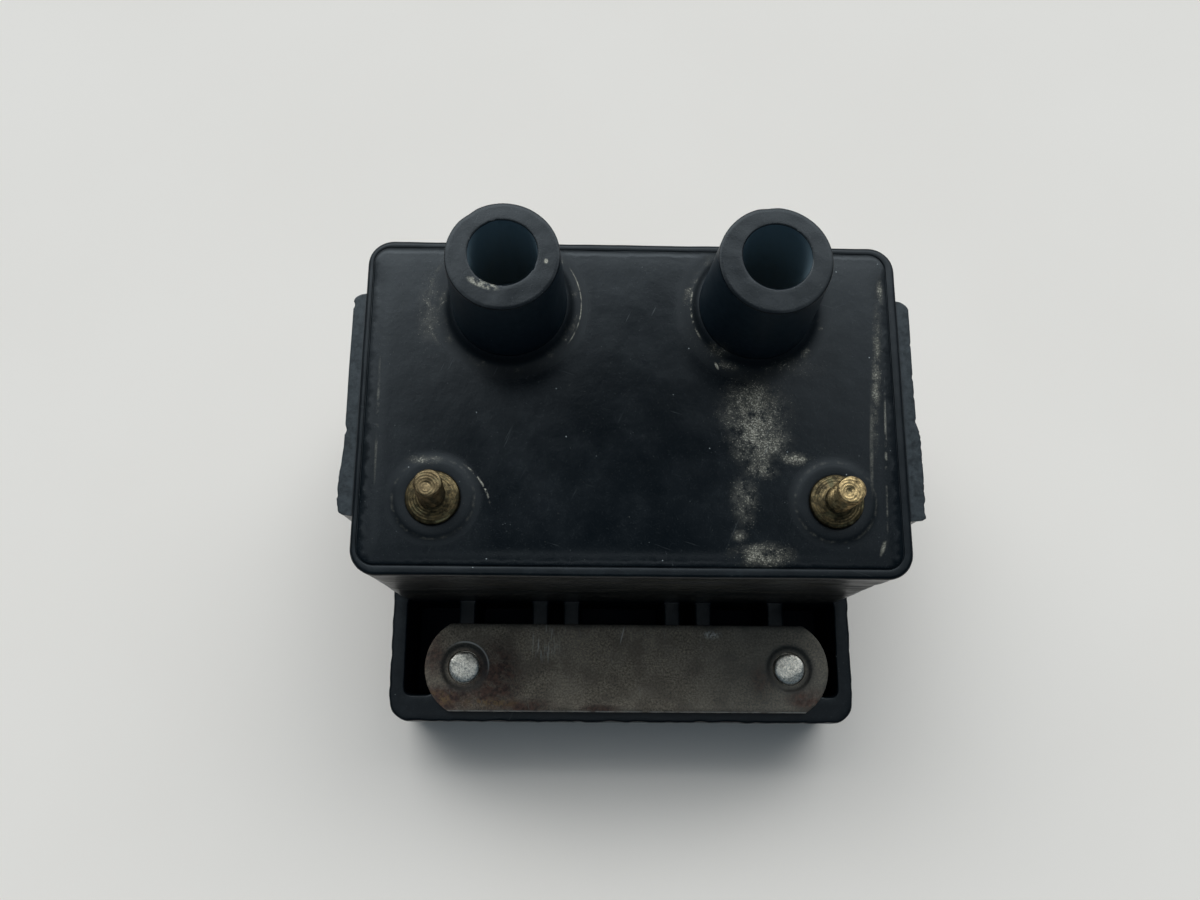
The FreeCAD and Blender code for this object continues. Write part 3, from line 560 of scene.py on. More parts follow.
def strap_steel():
    """Dull grey-brown plate, mottled, scratched, with rust round the left pillar and by the right end, painted
    shade along its rear edge and round the pillars, and a painted highlight on its front edge.
    """
    p = Paint("strap_steel", metallic=0.55)
    middle = (STRAP_LOW + STRAP_HIGH) / 2
    top = STRAP_HIGH[2]
    blotch = p.noise(6.5, 5, 0.6)
    fine = p.noise(0.36, 6, 0.75)
    colour = p.blend(p.step(fine, 0.36, 0.66), (0.052, 0.040, 0.028), (0.300, 0.232, 0.164))
    colour = p.blend(p.times(p.step(blotch, 0.40, 0.66), 0.30), colour, (0.260, 0.210, 0.158))
    patches = p.noise(4.2, 6, 0.66, shift=(2, 7, 0))
    colour = p.blend(p.times(p.step(patches, 0.56, 0.36), 0.55), colour, (0.070, 0.052, 0.038))
    fade = p.along("X", middle[0] + 2.0, middle[0] + 26.0)
    colour = p.blend(p.times(fade, 0.50), colour, (0.085, 0.078, 0.065))
    left, right = middle[0] - PILLAR_REACH, middle[0] + PILLAR_REACH
    rust_noise = p.patchy(0.36, 0.60, 2.2, 8, 0.72)
    # rusty places: x, y from the middle line, half width, half length, strength
    rust_spots = [
        (left + 5.2, -2.0, 7.4, 8.6, 1.0), (left - 2.5, -5.2, 8.0, 3.4, 0.95),
        (left + 10.0, -6.6, 8.0, 1.7, 0.8), (left + 24.0, -7.0, 5.0, 1.1, 0.7),
        (right + 3.0, -5.2, 5.0, 2.6, 0.8), (left - 5.5, 2.0, 3.6, 5.6, 0.6), (right - 5.0, -2.0, 3.0, 4.0, 0.4),
    ]
    rust = p.most(*[p.times(p.spot((x, middle[1] + y, top), (wide, long, 4), 0.2), strength)
                    for x, y, wide, long, strength in rust_spots])
    yellow = p.times(p.most(p.spot((left - 4.5, middle[1] - 5.4, top), (5.0, 1.9, 4), 0.1),
                            p.spot((left + 5.0, middle[1] - 6.0, top), (7.0, 1.2, 4), 0.1)),
                     p.patchy(0.46, 0.58, 0.9, 6, 0.7), 0.7)
    rust = p.math("MINIMUM", 1.0, p.times(rust, p.math("ADD", 0.40, rust_noise)))
    rust_colour = p.blend(p.patchy(0.36, 0.66, 0.7, 6, 0.72), (0.036, 0.017, 0.011), (0.125, 0.060, 0.038))
    colour = p.blend(rust, colour, rust_colour)
    colour = p.blend(yellow, colour, (0.210, 0.120, 0.045))
    # painted shade along the rear edge under the case wall, and in the dished holes round the pillars
    dark = p.most(p.times(p.along("Y", middle[1] + 6.0, middle[1] + 7.6), 0.8),
                  *[p.times(p.ring((x, middle[1]), 3.7, 1.2), 0.95) for x in (left, right)])
    colour = p.blend(p.times(dark, 0.75), colour, (0.030, 0.027, 0.024))
    burr = p.times(p.ring((left, middle[1]), 4.3, 0.22),
                   p.spot((left + 1.5, middle[1] + 2.0, top), (5, 4.5, 3), 0.5), 0.55)
    scratches = p.patchy(0.68, 0.78, 0.3, 2, 0.5, 0.3, stretch=(1, 18, 1), turn=(0, 0, -8))
    scratches = p.times(scratches, p.step(blotch, 0.46, 0.62), 0.4)
    marks = p.times(p.spot((middle[0] - 14.5, middle[1] + 4.4, top), (3.6, 4.2, 3), 0.2),
                    p.patchy(0.54, 0.66, 0.34, 3, 0.6, 0.3, stretch=(1, 12, 1)), 0.6)
    star = p.times(p.spot((middle[0] + 15.0, middle[1] + 5.8, top), (2.2, 1.0, 3), 0.1),
                   p.patchy(0.44, 0.58, 0.5, 5, 0.7), 0.7)
    line = p.times(p.spot((middle[0] - 0.9, middle[1] + 5.6, top), (0.16, 2.0, 3), 0.4, turn=-14.0), 0.5)
    # painted highlight along the front edge, mixed into the pale marks
    edge = p.times(p.along("Y", middle[1] - 7.25, middle[1] - 7.5), p.patchy(0.3, 0.6, 2.0, 4), 0.55)
    pale = p.most(scratches, marks, star, line, edge, burr)
    colour = p.blend(pale, colour, (0.52, 0.50, 0.46))
    p.put(p.shader.inputs["Metallic"], p.math("SUBTRACT", 0.62, p.times(rust, 0.5)))
    roughness = p.math("ADD", p.step(fine, 0.3, 0.7, 0.44, 0.58), p.times(rust, 0.26))
    return p.finish(colour, roughness, blotch, 0.05, fine, 0.03)


def bright_steel():
    p = Paint("peened_steel", metallic=0.9)
    blows = p.cells(1.0, feature="SMOOTH_F1")
    fine = p.noise(0.3, 6, 0.72)
    colour = p.blend(p.step(fine, 0.36, 0.62), (0.34, 0.30, 0.25), (0.98, 0.86, 0.72))
    pits = p.times(p.step(p.cells(0.5), 0.20, 0.06), p.patchy(0.46, 0.58, 1.2, 3))
    colour = p.blend(p.times(pits, 0.8), colour, (0.11, 0.10, 0.09))
    return p.finish(colour, p.step(fine, 0.3, 0.7, 0.30, 0.46), blows, 0.10, fine, 0.03)


def aged_brass(name, bright, centre):
    """Brass gone brown, rubbed bright at its tip, turned in fine rings and dull at its base."""
    p = Paint(name, metallic=0.92)
    patina = p.noise(0.9, 6, 0.68)
    fine = p.noise(0.18, 4, 0.65)
    shine = (0.47, 0.315, 0.145) if bright else (0.135, 0.092, 0.046)
    high = p.blend(p.step(patina, 0.32, 0.60), (0.080, 0.054, 0.026), shine)
    low = p.blend(p.step(patina, 0.36, 0.68), (0.024, 0.018, 0.009), (0.118, 0.080, 0.036))
    colour = p.blend(p.along("Z", FACE_Z + 1.6, FACE_Z + 4.6), low, high)
    rubbed = p.times(p.ring(centre, 3.75, 0.30), p.patchy(0.44, 0.62, 1.6, 4),
                     p.spot((centre[0] + 2.0, centre[1] - 1.5, FACE_Z + 0.8), (4.4, 3.8, 2.0), 0.6))
    colour = p.blend(p.times(rubbed, 0.8), colour, (0.50, 0.39, 0.19))
    radius = p.radius(centre)
    turned = p.math("SINE", p.times(radius, 2 * math.pi / GROOVE))
    grooves = p.times(turned, p.step(radius, 0.2, 0.5))
    dirt = p.times(p.step(grooves, 0.1, -0.9), p.step(patina, 0.35, 0.65), 0.40)
    colour = p.blend(dirt, colour, (0.030, 0.026, 0.018))
    colour = p.blend(p.times(p.patchy(0.54, 0.68, 1.4, 4, 0.6, shift=(3, 5, 1)), 0.45),
                     colour, (0.080, 0.074, 0.038))
    colour = p.blend(p.times(p.step(fine, 0.55, 0.75), 0.4), colour, (0.055, 0.045, 0.028))
    roughness = p.step(patina, 0.3, 0.7, 0.50, 0.32)
    return p.finish(colour, roughness, p.math("ADD", patina, p.times(grooves, 0.22)), 0.04, fine, 0.02)


def simple(name, low, high, size, roughness, metallic=0.0, stripe=None, depth=0.03):
    """Two-tone material with grain, and optional ridges (pitch, axis)."""
    p = Paint(name, metallic=metallic)
    grain = p.noise(size, 5, 0.62)
    colour = p.blend(p.step(grain, 0.34, 0.66), low, high)
    fine = p.noise(size / 5, 3, 0.6)
    height = fine
    if stripe is not None:
        ridges = p.stripes(*stripe)
        colour = p.blend(p.step(ridges, 0.42, 0.05), colour, tuple(c * 0.35 for c in low))
        height = p.math("ADD", ridges, p.times(fine, 0.2))
    return p.finish(colour, p.step(grain, 0.3, 0.7, roughness - 0.06, roughness + 0.08), height, depth)


# ---- Case: box with rim, side pads, ribbed foot ----

def wall_wear(points):
    """How far the moulded wall sinks in at each point: soft dents, and streaks on the near wall."""
    depth = 0.10 * wobble(points, 11.0) + 0.05 * wobble(points, 2.5, shift=4.0)
    near = clamp((WALL_NEAR + 1.2 - points[:, 1]) / 1.0)
    z = points[:, 2]
    band = clamp((z - 31.0) / 2.5) * clamp((RIM_Z - 1.2 - z) / 2.0)
    streaks = wobble(points, 2.0, (6.0, 1.0, 0.55), 9.0) ** 2
    streaks = streaks + 0.5 * wobble(points, 0.9, (5.0, 1.0, 0.6), 2.0)
    return depth + near * band * 0.42 * streaks


def make_box():
    shell = Shell()
    outline, normal = rounded_polygon(rectangle((-HALF_X, WALL_NEAR), (HALF_X, WALL_FAR), CORNER), 0.8)
    bottom, top = 0.7, 0.5
    rings = []
    for inset, z in wall_levels(bottom, top, RIM_Z, 0.8):
        ring = lift(outline - normal * inset, z)
        sink = wall_wear(ring)
        ring[:, :2] -= normal * sink[:, None]
        if z > RIM_Z - top:
            ring[:, 2] -= 0.10 * wobble(ring, 3.0, shift=7.0)
        rings.append(ring)
    # the inner edge of the rim isn't quite concentric with the outer one
    seat_x, seat_y = -0.25, MIDDLE_Y + 0.12
    seat_half = (HALF_X - 1.22, HALF_Y - 1.35)
    inner = (outline - (0, MIDDLE_Y)) - normal * 1.3
    inner *= np.array(seat_half) / np.abs(inner).max(0)
    inner += (seat_x, seat_y)
    for out, drop in ((0.22, 0.02), (0.07, 0.05), (0.0, 0.16)):
        ring = lift(inner + normal * out, RIM_Z - drop)
        ring[:, 2] -= 0.08 * wobble(ring, 3.0, shift=7.0)
        rings.append(ring)
    # a bead of glue closes the joint between rim and cover just below their edges
    rings += [lift(inner - normal * 0.34, RIM_Z - 0.15), lift(inner - normal * 0.34, RIM_Z - 0.45)]
    rings += [lift(inner, z) for z in (RIM_Z - 0.9, RIM_Z - 2.0, SEAT_Z)]
    shell.solid(rings)
    return new_object("case_moulding", shell.mesh("case_moulding")), inner, normal


def pocket_outline(low_x, high_x, boss_x=None):
    """Corners of one pocket of the foot. A boss takes a round bite out of one side."""
    low_y, high_y, radius, boss_y = FOOT_NEAR + 4.7, WALL_NEAR + 0.7, 6.2, MOUNTS["mounting_holes"][1]
    soft = 1.2
    if boss_x is None:
        return rectangle((low_x, low_y), (high_x, high_y), soft)
    on_right = boss_x > (low_x + high_x) / 2
    rib_x = high_x if on_right else low_x
    sign = -1 if on_right else 1
    high_angle = math.atan2(math.sqrt(radius ** 2 - (rib_x - boss_x) ** 2), rib_x - boss_x)
    low_angle = math.atan2(low_y - boss_y, sign * math.sqrt(radius ** 2 - (low_y - boss_y) ** 2))
    if on_right and low_angle < 0:
        low_angle += 2 * math.pi
    steps = 14
    arc = []
    for k in range(steps + 1):
        angle = low_angle + (high_angle - low_angle) * k / steps
        corner = 1.0 if k in (0, steps) else 0.0
        arc.append((boss_x + radius * math.cos(angle), boss_y + radius * math.sin(angle), corner))
    if on_right:
        return [(low_x, low_y, soft)] + arc + [(high_x, high_y, soft), (low_x, high_y, soft)]
    return [(high_x, low_y, soft), (high_x, high_y, soft), (low_x, high_y, soft)] + arc[::-1]


def make_foot():
    shell = Shell()
    rear = WALL_NEAR + 1.3
    shelf = WALL_NEAR + CORNER - 0.1
    inner_x = HALF_X - 1.3
    corners = [(-HALF_X, FOOT_NEAR, CORNER), (HALF_X, FOOT_NEAR, CORNER), (HALF_X, shelf, 0.2),
               (inner_x, shelf, 0.2), (inner_x, rear, 2.4), (-inner_x, rear, 2.4),
               (-inner_x, shelf, 0.2), (-HALF_X, shelf, 0.2)]
    outline, normal = rounded_polygon(corners, 0.75)
    open_side = clamp((WALL_NEAR + 2.6 - outline[:, 1]) / 0.5)
    bottom, top = 0.7, 0.45
    rings = []
    for inset, z in wall_levels(bottom, top, FOOT_Z, 0.9):
        ring = lift(outline - normal * (inset * open_side)[:, None], z)
        sink = 0.12 * wobble(ring, 9.0) + 0.08 * wobble(ring, 2.0, shift=5.0)
        ragged = clamp((z - FOOT_Z + 1.6) / 1.2) * (wobble(ring, 1.6, shift=3.0) - 0.35) * 0.45
        side = clamp((FOOT_NEAR + 12.0 - ring[:, 1]) / 30.0 + 0.9)
        sink = sink + np.maximum(ragged, 0) * side
        ring[:, :2] -= normal * (sink * open_side)[:, None]
        rings.append(ring)
    first, last = shell.loft(rings)

    def rim_height(points):
        return FOOT_Z - 0.10 * wobble(lift(points, 0.0), 4.0, shift=2.0)

    rib, inner_rib, middle_rib, outer_rib = 1.45, 9.0, 14.6, 27.6
    side_x = HALF_X - 2.8
    middle = MOUNTS["mounting_holes"][0]
    boss = {sign: middle + sign * PILLAR_REACH for sign in (-1, 1)}
    shapes = [pocket_outline(-inner_rib + rib, inner_rib - rib)]
    for sign in (-1, 1):
        for near, far, beside in ((inner_rib + rib, middle_rib - rib, None),
                                  (middle_rib + rib, outer_rib - rib, boss[sign]),
                                  (outer_rib + rib, side_x, boss[sign])):
            low_x, high_x = sorted((sign * near, sign * far))
            shapes.append(pocket_outline(low_x, high_x, beside))
    round_top, fillet, draft, floor_z = 0.35, 0.5, 0.15, 4.0
    tops = []
    for corners in shapes:
        line, out = rounded_polygon(corners, 0.7)
        steps = [(-round_top + s, FOOT_Z - c) for s, c in quarter(round_top, 3)]
        steps += [(draft * (FOOT_Z - z) / FOOT_Z, z)
                  for z in span(FOOT_Z - round_top, floor_z + fillet, 1.6)]
        steps += [(draft + c, floor_z + fillet - s) for s, c in quarter(fillet, 3)[1:]]
        levels = []
        for inset, z in steps:
            ring = lift(line - out * inset, z)
            ring[:, :2] -= out * (0.10 * (wobble(ring, 3.0, shift=1.0) - 0.5))[:, None]
            if z > FOOT_Z - round_top:
                ring[:, 2] -= 0.06 * wobble(ring, 3.0)
            levels.append(ring)
        top_ring, floor_ring = shell.loft(levels)
        shell.fill(floor_ring)
        tops.append(top_ring)
    holes_top, holes_bottom = [], []
    hole_y = MOUNTS["mounting_holes"][1]
    for sign in (-1, 1):
        low, high = shell.loft([lift(circle((boss[sign], hole_y), 4.52, 64), z) for z in (0.0, FOOT_Z)])
        holes_bottom.append(low)
        holes_top.append(high)
    shell.fill(last, tops + holes_top, rim_height, 1.1)
    shell.fill(first, holes_bottom)
    return new_object("foot", shell.mesh("foot"))


def make_pad(side):
    """A pad on the side wall, whose top edge ends in a ragged fin of flash."""
    shell = Shell()
    root, face = HALF_X - 1.0, HALF_X + 1.8
    low_y, high_y, top = MIDDLE_Y - 17.5, MIDDLE_Y + 17.5, RIM_Z - 0.6
    count = 120
    y = np.linspace(low_y, high_y, count)
    corner = clamp(np.minimum((y - low_y) / 0.8, (high_y - y) / 1.4))
    base = root + 0.2 + (face - root - 0.2) * np.sqrt(1 - (1 - corner) ** 2)
    if side < 0:
        torn = clamp((y - low_y) / 2.6) * clamp((low_y + 10.5 - y) / 5.5)
    else:
        torn = clamp((y - low_y) / 0.2) * clamp((low_y + 15.0 - y) / 1.6)
    rings = []
    steps = [(0.9, 0.15), (0.3, 0.35), (0.0, 0.9)]
    steps += [(0.0, z) for z in span(0.9, top - 2.0, 1.7)] + [(0.0, top - z) for z in (1.4, 1.0, 0.8)]
    steps += [(-0.02, top - z) for z in (0.62, 0.45, 0.25, 0.1)]
    steps += [(0.06, top - 0.02), (0.12, top), (0.45, top)]
    for inset, z in steps:
        reach = base - inset
        at = np.column_stack([np.full(count, 50.0 * side), y, np.full(count, z * 0.35)])
        reach = reach - 0.12 * wobble(at, 8.0)
        fin = clamp((z - (top - 0.85)) / 0.25)
        flat_top = 1.0 if z > top - 0.03 else 0.0
        tear = 0.55 * wobble(at, 1.1, shift=2.0) + 0.45 * wobble(at, 0.45, shift=6.0)
        fringe = 0.12 + 0.60 * torn * (0.55 + 0.45 * clamp(tear * 1.7 - 0.35))
        chips = 0.35 * clamp(wobble(at, 1.3, shift=12.0) * 3.2 - 2.0)
        reach = reach + fin * (fringe - chips) * clamp(corner * 3)
        reach = np.clip(reach, root + 0.1, CASE_HIGH[0] - 0.01)
        line = np.column_stack([side * reach, y])
        back = np.column_stack([np.full(3, side * root), np.linspace(high_y, low_y, 3)])
        ring = np.concatenate([line, back])
        height = np.full(len(ring), z)
        if z > top - 0.3:
            height = height - (0.03 + 0.04 * flat_top) * wobble(lift(ring, 0), 4.0)
        rings.append(lift(ring, height))
    shell.solid(rings)
    return new_object("pad", shell.mesh("pad"))


def cutter(low, high, radius):
    shell = Shell()
    outline = rounded_polygon(rectangle(low, high, radius), 6.0)[0]
    shell.solid([lift(outline, low[2]), lift(outline, high[2])])
    return new_object("cutter", shell.mesh("cutter"))


def make_case():
    case, seat, seat_normal = make_box()
    combine(case, make_foot(), "UNION")
    for side in (-1, 1):
        combine(case, make_pad(side), "UNION")
    wall, floor_z, above = 2.6, 3.0, SEAT_Z + 0.5
    combine(case, cutter((wall - HALF_X, WALL_NEAR + wall, floor_z),
                         (HALF_X - wall, WALL_FAR - wall, above), CORNER - 1.4), "DIFFERENCE")
    core_low, core_high = box_mm("core_yoke_left")
    core_x = -core_low[0]
    core_room = cutter((-core_x, core_low[1], floor_z + 0.01), (core_x, core_high[1], above), 0.2)
    combine(case, core_room, "DIFFERENCE")
    finished(case.data)
    dress(case.data, black_moulding("case_black", False))
    place(case, "phenolic", "case")
    return seat, seat_normal


# ---- Cover: plate, towers, stud collars ----
def face_height(points, edge):
    """Height of the cover's face: nearly flat, falling towards its edge, rising in a fillet to each tower."""
    z = FACE_Z - 0.07 * wobble(lift(points, 0.0), 14.0) - 0.025 * wobble(lift(points, 0.0), 4.0, shift=3.0)
    low, high = edge.min(0), edge.max(0)
    to_edge = np.minimum.reduce([points[:, 0] - low[0], high[0] - points[:, 0],
                                 points[:, 1] - low[1], high[1] - points[:, 1]])
    slope = clamp(1 - (to_edge - 1.0) / 2.2)
    far = clamp((points[:, 1] - high[1] + 6.0) / 3.0)
    z = z - (0.13 - 0.10 * far) * slope ** 2
    for centre in TOWERS:
        radius = np.hypot(points[:, 0] - centre[0], points[:, 1] - centre[1])
        t = np.clip((10.6 - radius) / 1.9, 0, 0.86)
        z = z + 1.9 * (1 - np.sqrt(1 - t ** 2))
    return z


def make_cover(seat, normal):
    shell = Shell()
    gap = 0.05
    edge = seat - normal * gap
    rounding = 0.24
    levels = [(0.3, SEAT_Z), (0.0, SEAT_Z + 0.3)]
    shoulder = FACE_Z - 0.35 - rounding
    levels += [(0.0, z) for z in span(SEAT_Z + 0.3, shoulder, 1.1)]
    levels += [(c, shoulder + s) for s, c in quarter(rounding, 5)[1:]]
    rings = []
    for inset, z in levels:
        flat = edge - normal * inset
        share = max(0.0, min(1.0, (z - shoulder) / rounding))
        height = z + (face_height(flat, edge) - (FACE_Z - 0.35)) * share ** 2
        rings.append(lift(flat, height))
    first, last = shell.loft(rings)
    hole_tops, hole_bottoms, extra = [], [], []
    count = 96
    for centre in TOWERS:
        line = circle(centre, 5.6, count)
        low, high = shell.loft([lift(line, SEAT_Z), lift(line, face_height(line, edge))])
        hole_bottoms.append(low)
        hole_tops.append(high)
        for radius in (8.3, 8.7, 9.05, 9.4, 9.75, 10.1, 10.6, 11.2):
            extra.extend(circle(centre, radius, count))
    for centre in STUDS:
        profile = [(6.9, None), (6.5, 0.01), (6.2, 0.04), (5.9, 0.11), (5.65, 0.19), (5.4, 0.24), (5.1, 0.26),
                   (4.7, 0.26), (4.4, 0.25), (4.15, 0.23), (4.0, 0.20), (4.0, 0.0), (3.45, 0.0),
                   (3.45, -2.5), (3.45, SEAT_Z - FACE_Z)]
        rings = []
        for radius, rise in profile:
            line = circle(centre, radius, count)
            base = face_height(line, edge)
            height = base if rise is None else base + rise if rise > 0 else np.full(count, FACE_Z + rise)
            ring = lift(line, height)
            if rise is not None and rise > 0.05:
                ring[:, 2] += 0.03 * (wobble(ring, 2.2) - 0.5)
            rings.append(ring)
        top_ring, bottom_ring = shell.loft(rings)
        hole_tops.append(top_ring)
        hole_bottoms.append(bottom_ring)
    shell.fill(last, hole_tops, lambda points: face_height(points, edge), 0.85, extra)
    shell.fill(first, hole_bottoms)
    cover = new_object("cover_moulding", shell.mesh("cover_moulding"))
    for index, centre in enumerate(TOWERS):
        combine(cover, make_tower(index, centre), "UNION")
    finished(cover.data)
    dress(cover.data, black_moulding("cover_black", True))
    place(cover, "phenolic", "terminal_cover")


def make_tower(index, centre):
    """Tube with a drafted outside, a flat crisp mouth and a bore that sits a little off centre."""
    shell = Shell()
    count = 144
    contact_top = box_mm("ht_contact_left")[1][2]
    root = COVER_LOW[2]
    foot_r, mouth_r, bore_r, round_out, round_in = 8.72, 7.93, 4.82, 0.16, 0.07
    off = np.array([(0.0, 0.48), (0.24, 0.50)][index])
    start, end = FACE_Z - 1.0, TOWER_TOP - round_out
    profile = [(1.52, root), (6.7, root), (7.0, root + 0.3), (7.0, SEAT_Z + 0.3), (8.3, SEAT_Z + 1.4),
               (foot_r, FACE_Z - 1.0)]
    profile += [(foot_r + (mouth_r - foot_r) * max(0.0, (z - FACE_Z - 1.2) / (end - FACE_Z - 1.2)), z)
                for z in span(start, end, 0.8)]
    profile += [(mouth_r - c, end + s) for s, c in quarter(round_out, 3)[1:]]
    profile += [(r, TOWER_TOP, k / 4) for k, r in enumerate((7.3, 6.7, 6.1, 5.5, bore_r + 0.25))]
    profile += [(bore_r + round_in, TOWER_TOP - 0.01, 1.0), (bore_r, TOWER_TOP - round_in, 1.0)]
    profile += [(bore_r, z, 1.0) for z in span(TOWER_TOP - 0.5, contact_top + 6.0, 1.2)]
    profile += [(4.81, contact_top + 3.0, 0.5), (4.8, contact_top)]
    profile += [(4.02, contact_top), (4.02, contact_top - 3.0), (1.52, contact_top - 3.0)]
    angle = round_angles(count)

    def shape(radius, z):
        at = polar((0.0, 0.0), radius, z, count)
        out = radius > 5.6 and z > FACE_Z
        amount = 0.09 * (wobble(at, 6.0, shift=index * 5.0) - 0.5)
        if out and z > TOWER_TOP - 3.0:
            flat = math.radians(128 if index == 0 else 96)
            away = np.abs((angle - flat + math.pi) % (2 * math.pi) - math.pi)
            amount = amount - 0.16 * clamp(1 - away / 0.2)
        if not out and z > TOWER_TOP - 0.4:
            amount = amount + 0.20 * clamp(wobble(at, 1.0, shift=2.0 + index) * 3.0 - 2.0)
        return amount if z > contact_top + 0.1 else amount * 0.0

    rings = []
    for entry in profile:
        radius, z, share = entry[0], entry[1], entry[2] if len(entry) > 2 else 0.0
        r = radius + shape(radius, z)
        ring = polar(centre[:2] + off * share, r, z, count)
        if z > TOWER_TOP - 0.2:
            ring[:, 2] -= 0.05 * wobble(ring * (1, 1, 0), 2.5)
        rings.append(ring)
    first, last = shell.loft(rings)
    shell.bridge(last, first)
    return new_object("tower", shell.mesh("tower"))


# ---- Studs, strap and pillars ----

def thread(angle, z, pitch, depth, turn=1):
    """Depth of a V thread at each angle, at one height."""
    phase = (z / pitch - turn * angle / (2 * math.pi)) % 1.0
    cut = np.abs(2 * phase - 1)
    return -depth * clamp(cut * 1.25 - 0.12)


def make_stud(side):
    node = "primary_stud_" + side
    low, high = box_mm(node)
    centre = MOUNTS[node]
    count = 72
    pitch, depth = 0.794, 0.42
    radius, base_r = 2.07, 4.05
    tip, base_top, tail = high[2], FACE_Z + 1.0, low[2]
    profile = [(1.55, tail), (1.6, tail + 0.15), (1.6, SEAT_Z - 1.0), (3.38, SEAT_Z - 1.0),
               (3.38, FACE_Z - 0.02), (3.9, FACE_Z + 0.02), (base_r, FACE_Z + 0.12)]
    profile += [(base_r, base_top - 0.42), (base_r - 0.10, base_top - 0.2), (base_r - 0.32, base_top - 0.06),
                (3.4, base_top), (2.95, base_top + 0.02), (2.7, base_top + 0.06), (2.35, base_top + 0.14)]
    start = base_top + 0.25
    profile += [(radius - 0.25, start), (radius - 0.3, start + 0.3)]
    profile += [(radius, z) for z in span(start + 0.3, tip - 0.32, pitch / 9)]
    profile += [(radius - c, tip - 0.3 + s) for s, c in quarter(0.3, 3)[1:]]
    profile += [(1.45, tip), (1.1, tip - 0.03), (0.75, tip - 0.02), (0.45, tip - 0.10),
                (0.2, tip - 0.2)]
    lean = (0.25, 0.62) if side == "left" else (0.42, 0.30)
    angle = round_angles(count)
    shell = Shell()
    rings = []
    for r, z in profile:
        ring_r = np.full(count, r)
        at = polar((0.0, 0.0), r, z, count)
        if start + 0.3 < z <= tip - 0.32:
            fade = min(1.0, (z - start) / 0.8, (tip - 0.2 - z) / 0.5)
            ring_r = ring_r + thread(angle, z, pitch, depth) * max(0.15, fade)
            ring_r = ring_r - 0.07 * wobble(at, 1.0, shift=3.0)
        elif z > base_top + 1.5:
            ring_r = ring_r - 0.10 * wobble(at, 1.4, shift=5.0)
        elif z > FACE_Z:
            ring_r = ring_r - 0.07 * wobble(at, 1.6, shift=8.0)
        share = max(0.0, (z - base_top) / (tip - base_top))
        ring = polar((centre[0] + lean[0] * share, centre[1] + lean[1] * share), ring_r, z, count)
        if z > tip - 0.31:
            ring[:, 2] -= 0.12 * wobble(ring, 1.2, shift=9.0)
        elif z > base_top - 0.1 and r > 2.3:
            ring[:, 2] -= 0.06 * wobble(ring, 1.3)
        rings.append(ring)
    shell.solid(rings)
    name = "stud_" + side
    brass = aged_brass("brass_" + side, side == "right", centre)
    place(new_object(name, shell.mesh(name, 50.0), brass), "brass_stud", node)


def make_strap():
    """Plate with round ends, thin sharp edges, and a dished hole for each pillar."""
    middle = (STRAP_LOW + STRAP_HIGH) / 2
    half_x, half_y = (STRAP_HIGH - STRAP_LOW)[:2] / 2
    end_r = 8.7
    centre = half_x - end_r
    reach = math.asin(half_y / end_r)
    corners = []
    steps = 16
    for sign in (1, -1):
        for k in range(steps + 1):
            turn = -reach + 2 * reach * k / steps
            x, y = centre + end_r * math.cos(turn), end_r * math.sin(turn)
            soft = 0.0
            if k in (0, steps):
                soft = 0.9 if sign * y > 0 else 0.3
            corners.append((sign * x + middle[0], sign * y + middle[1], soft))
    outline, normal = rounded_polygon(corners, 0.5)
    bottom, top, edge = STRAP_LOW[2], STRAP_HIGH[2], 0.16
    shell = Shell()
    rings = []
    for inset, z in ((edge, bottom), (0.0, bottom + edge), (0.02, bottom + 0.75), (0.0, top - edge),
                     (edge * 0.35, top - edge * 0.3), (edge, top)):
        ring = lift(outline - normal * inset, z)
        ring[:, :2] -= normal * (0.05 * wobble(ring, 1.2))[:, None]
        rings.append(ring)
    first, last = shell.loft(rings)
    tops, bottoms = [], []
    for sign in (-1, 1):
        hole = (middle[0] + sign * PILLAR_REACH, middle[1])
        profile = [(4.25, 0.0), (4.05, 0.03), (3.85, 0.12), (3.66, 0.27), (3.45, 0.38), (3.1, 0.42),
                   (2.86, 0.43), (2.80, 0.52), (2.80, 1.2), (2.80, 1.5)]
        levels = []
        for radius, drop in profile:
            ring = lift(circle(hole, radius, 80), top - drop)
            if 0.02 < drop < 0.6:
                ring[:, 2] += 0.10 * (wobble(ring, 1.6) - 0.5)
            levels.append(ring)
        high, low = shell.loft(levels)
        tops.append(high)
        bottoms.append(low)

    def surface(points):
        at = lift(points, 0.0)
        return top - 0.05 * wobble(at, 9.0) - 0.03 * wobble(at, 1.5, shift=4.0)

    shell.fill(last, tops, surface, 0.9)
    shell.fill(first, bottoms)
    strap = new_object("strap_plate", shell.mesh("strap_plate", 30.0), strap_steel())
    place(strap, "steel_strap", "mounting_strap")


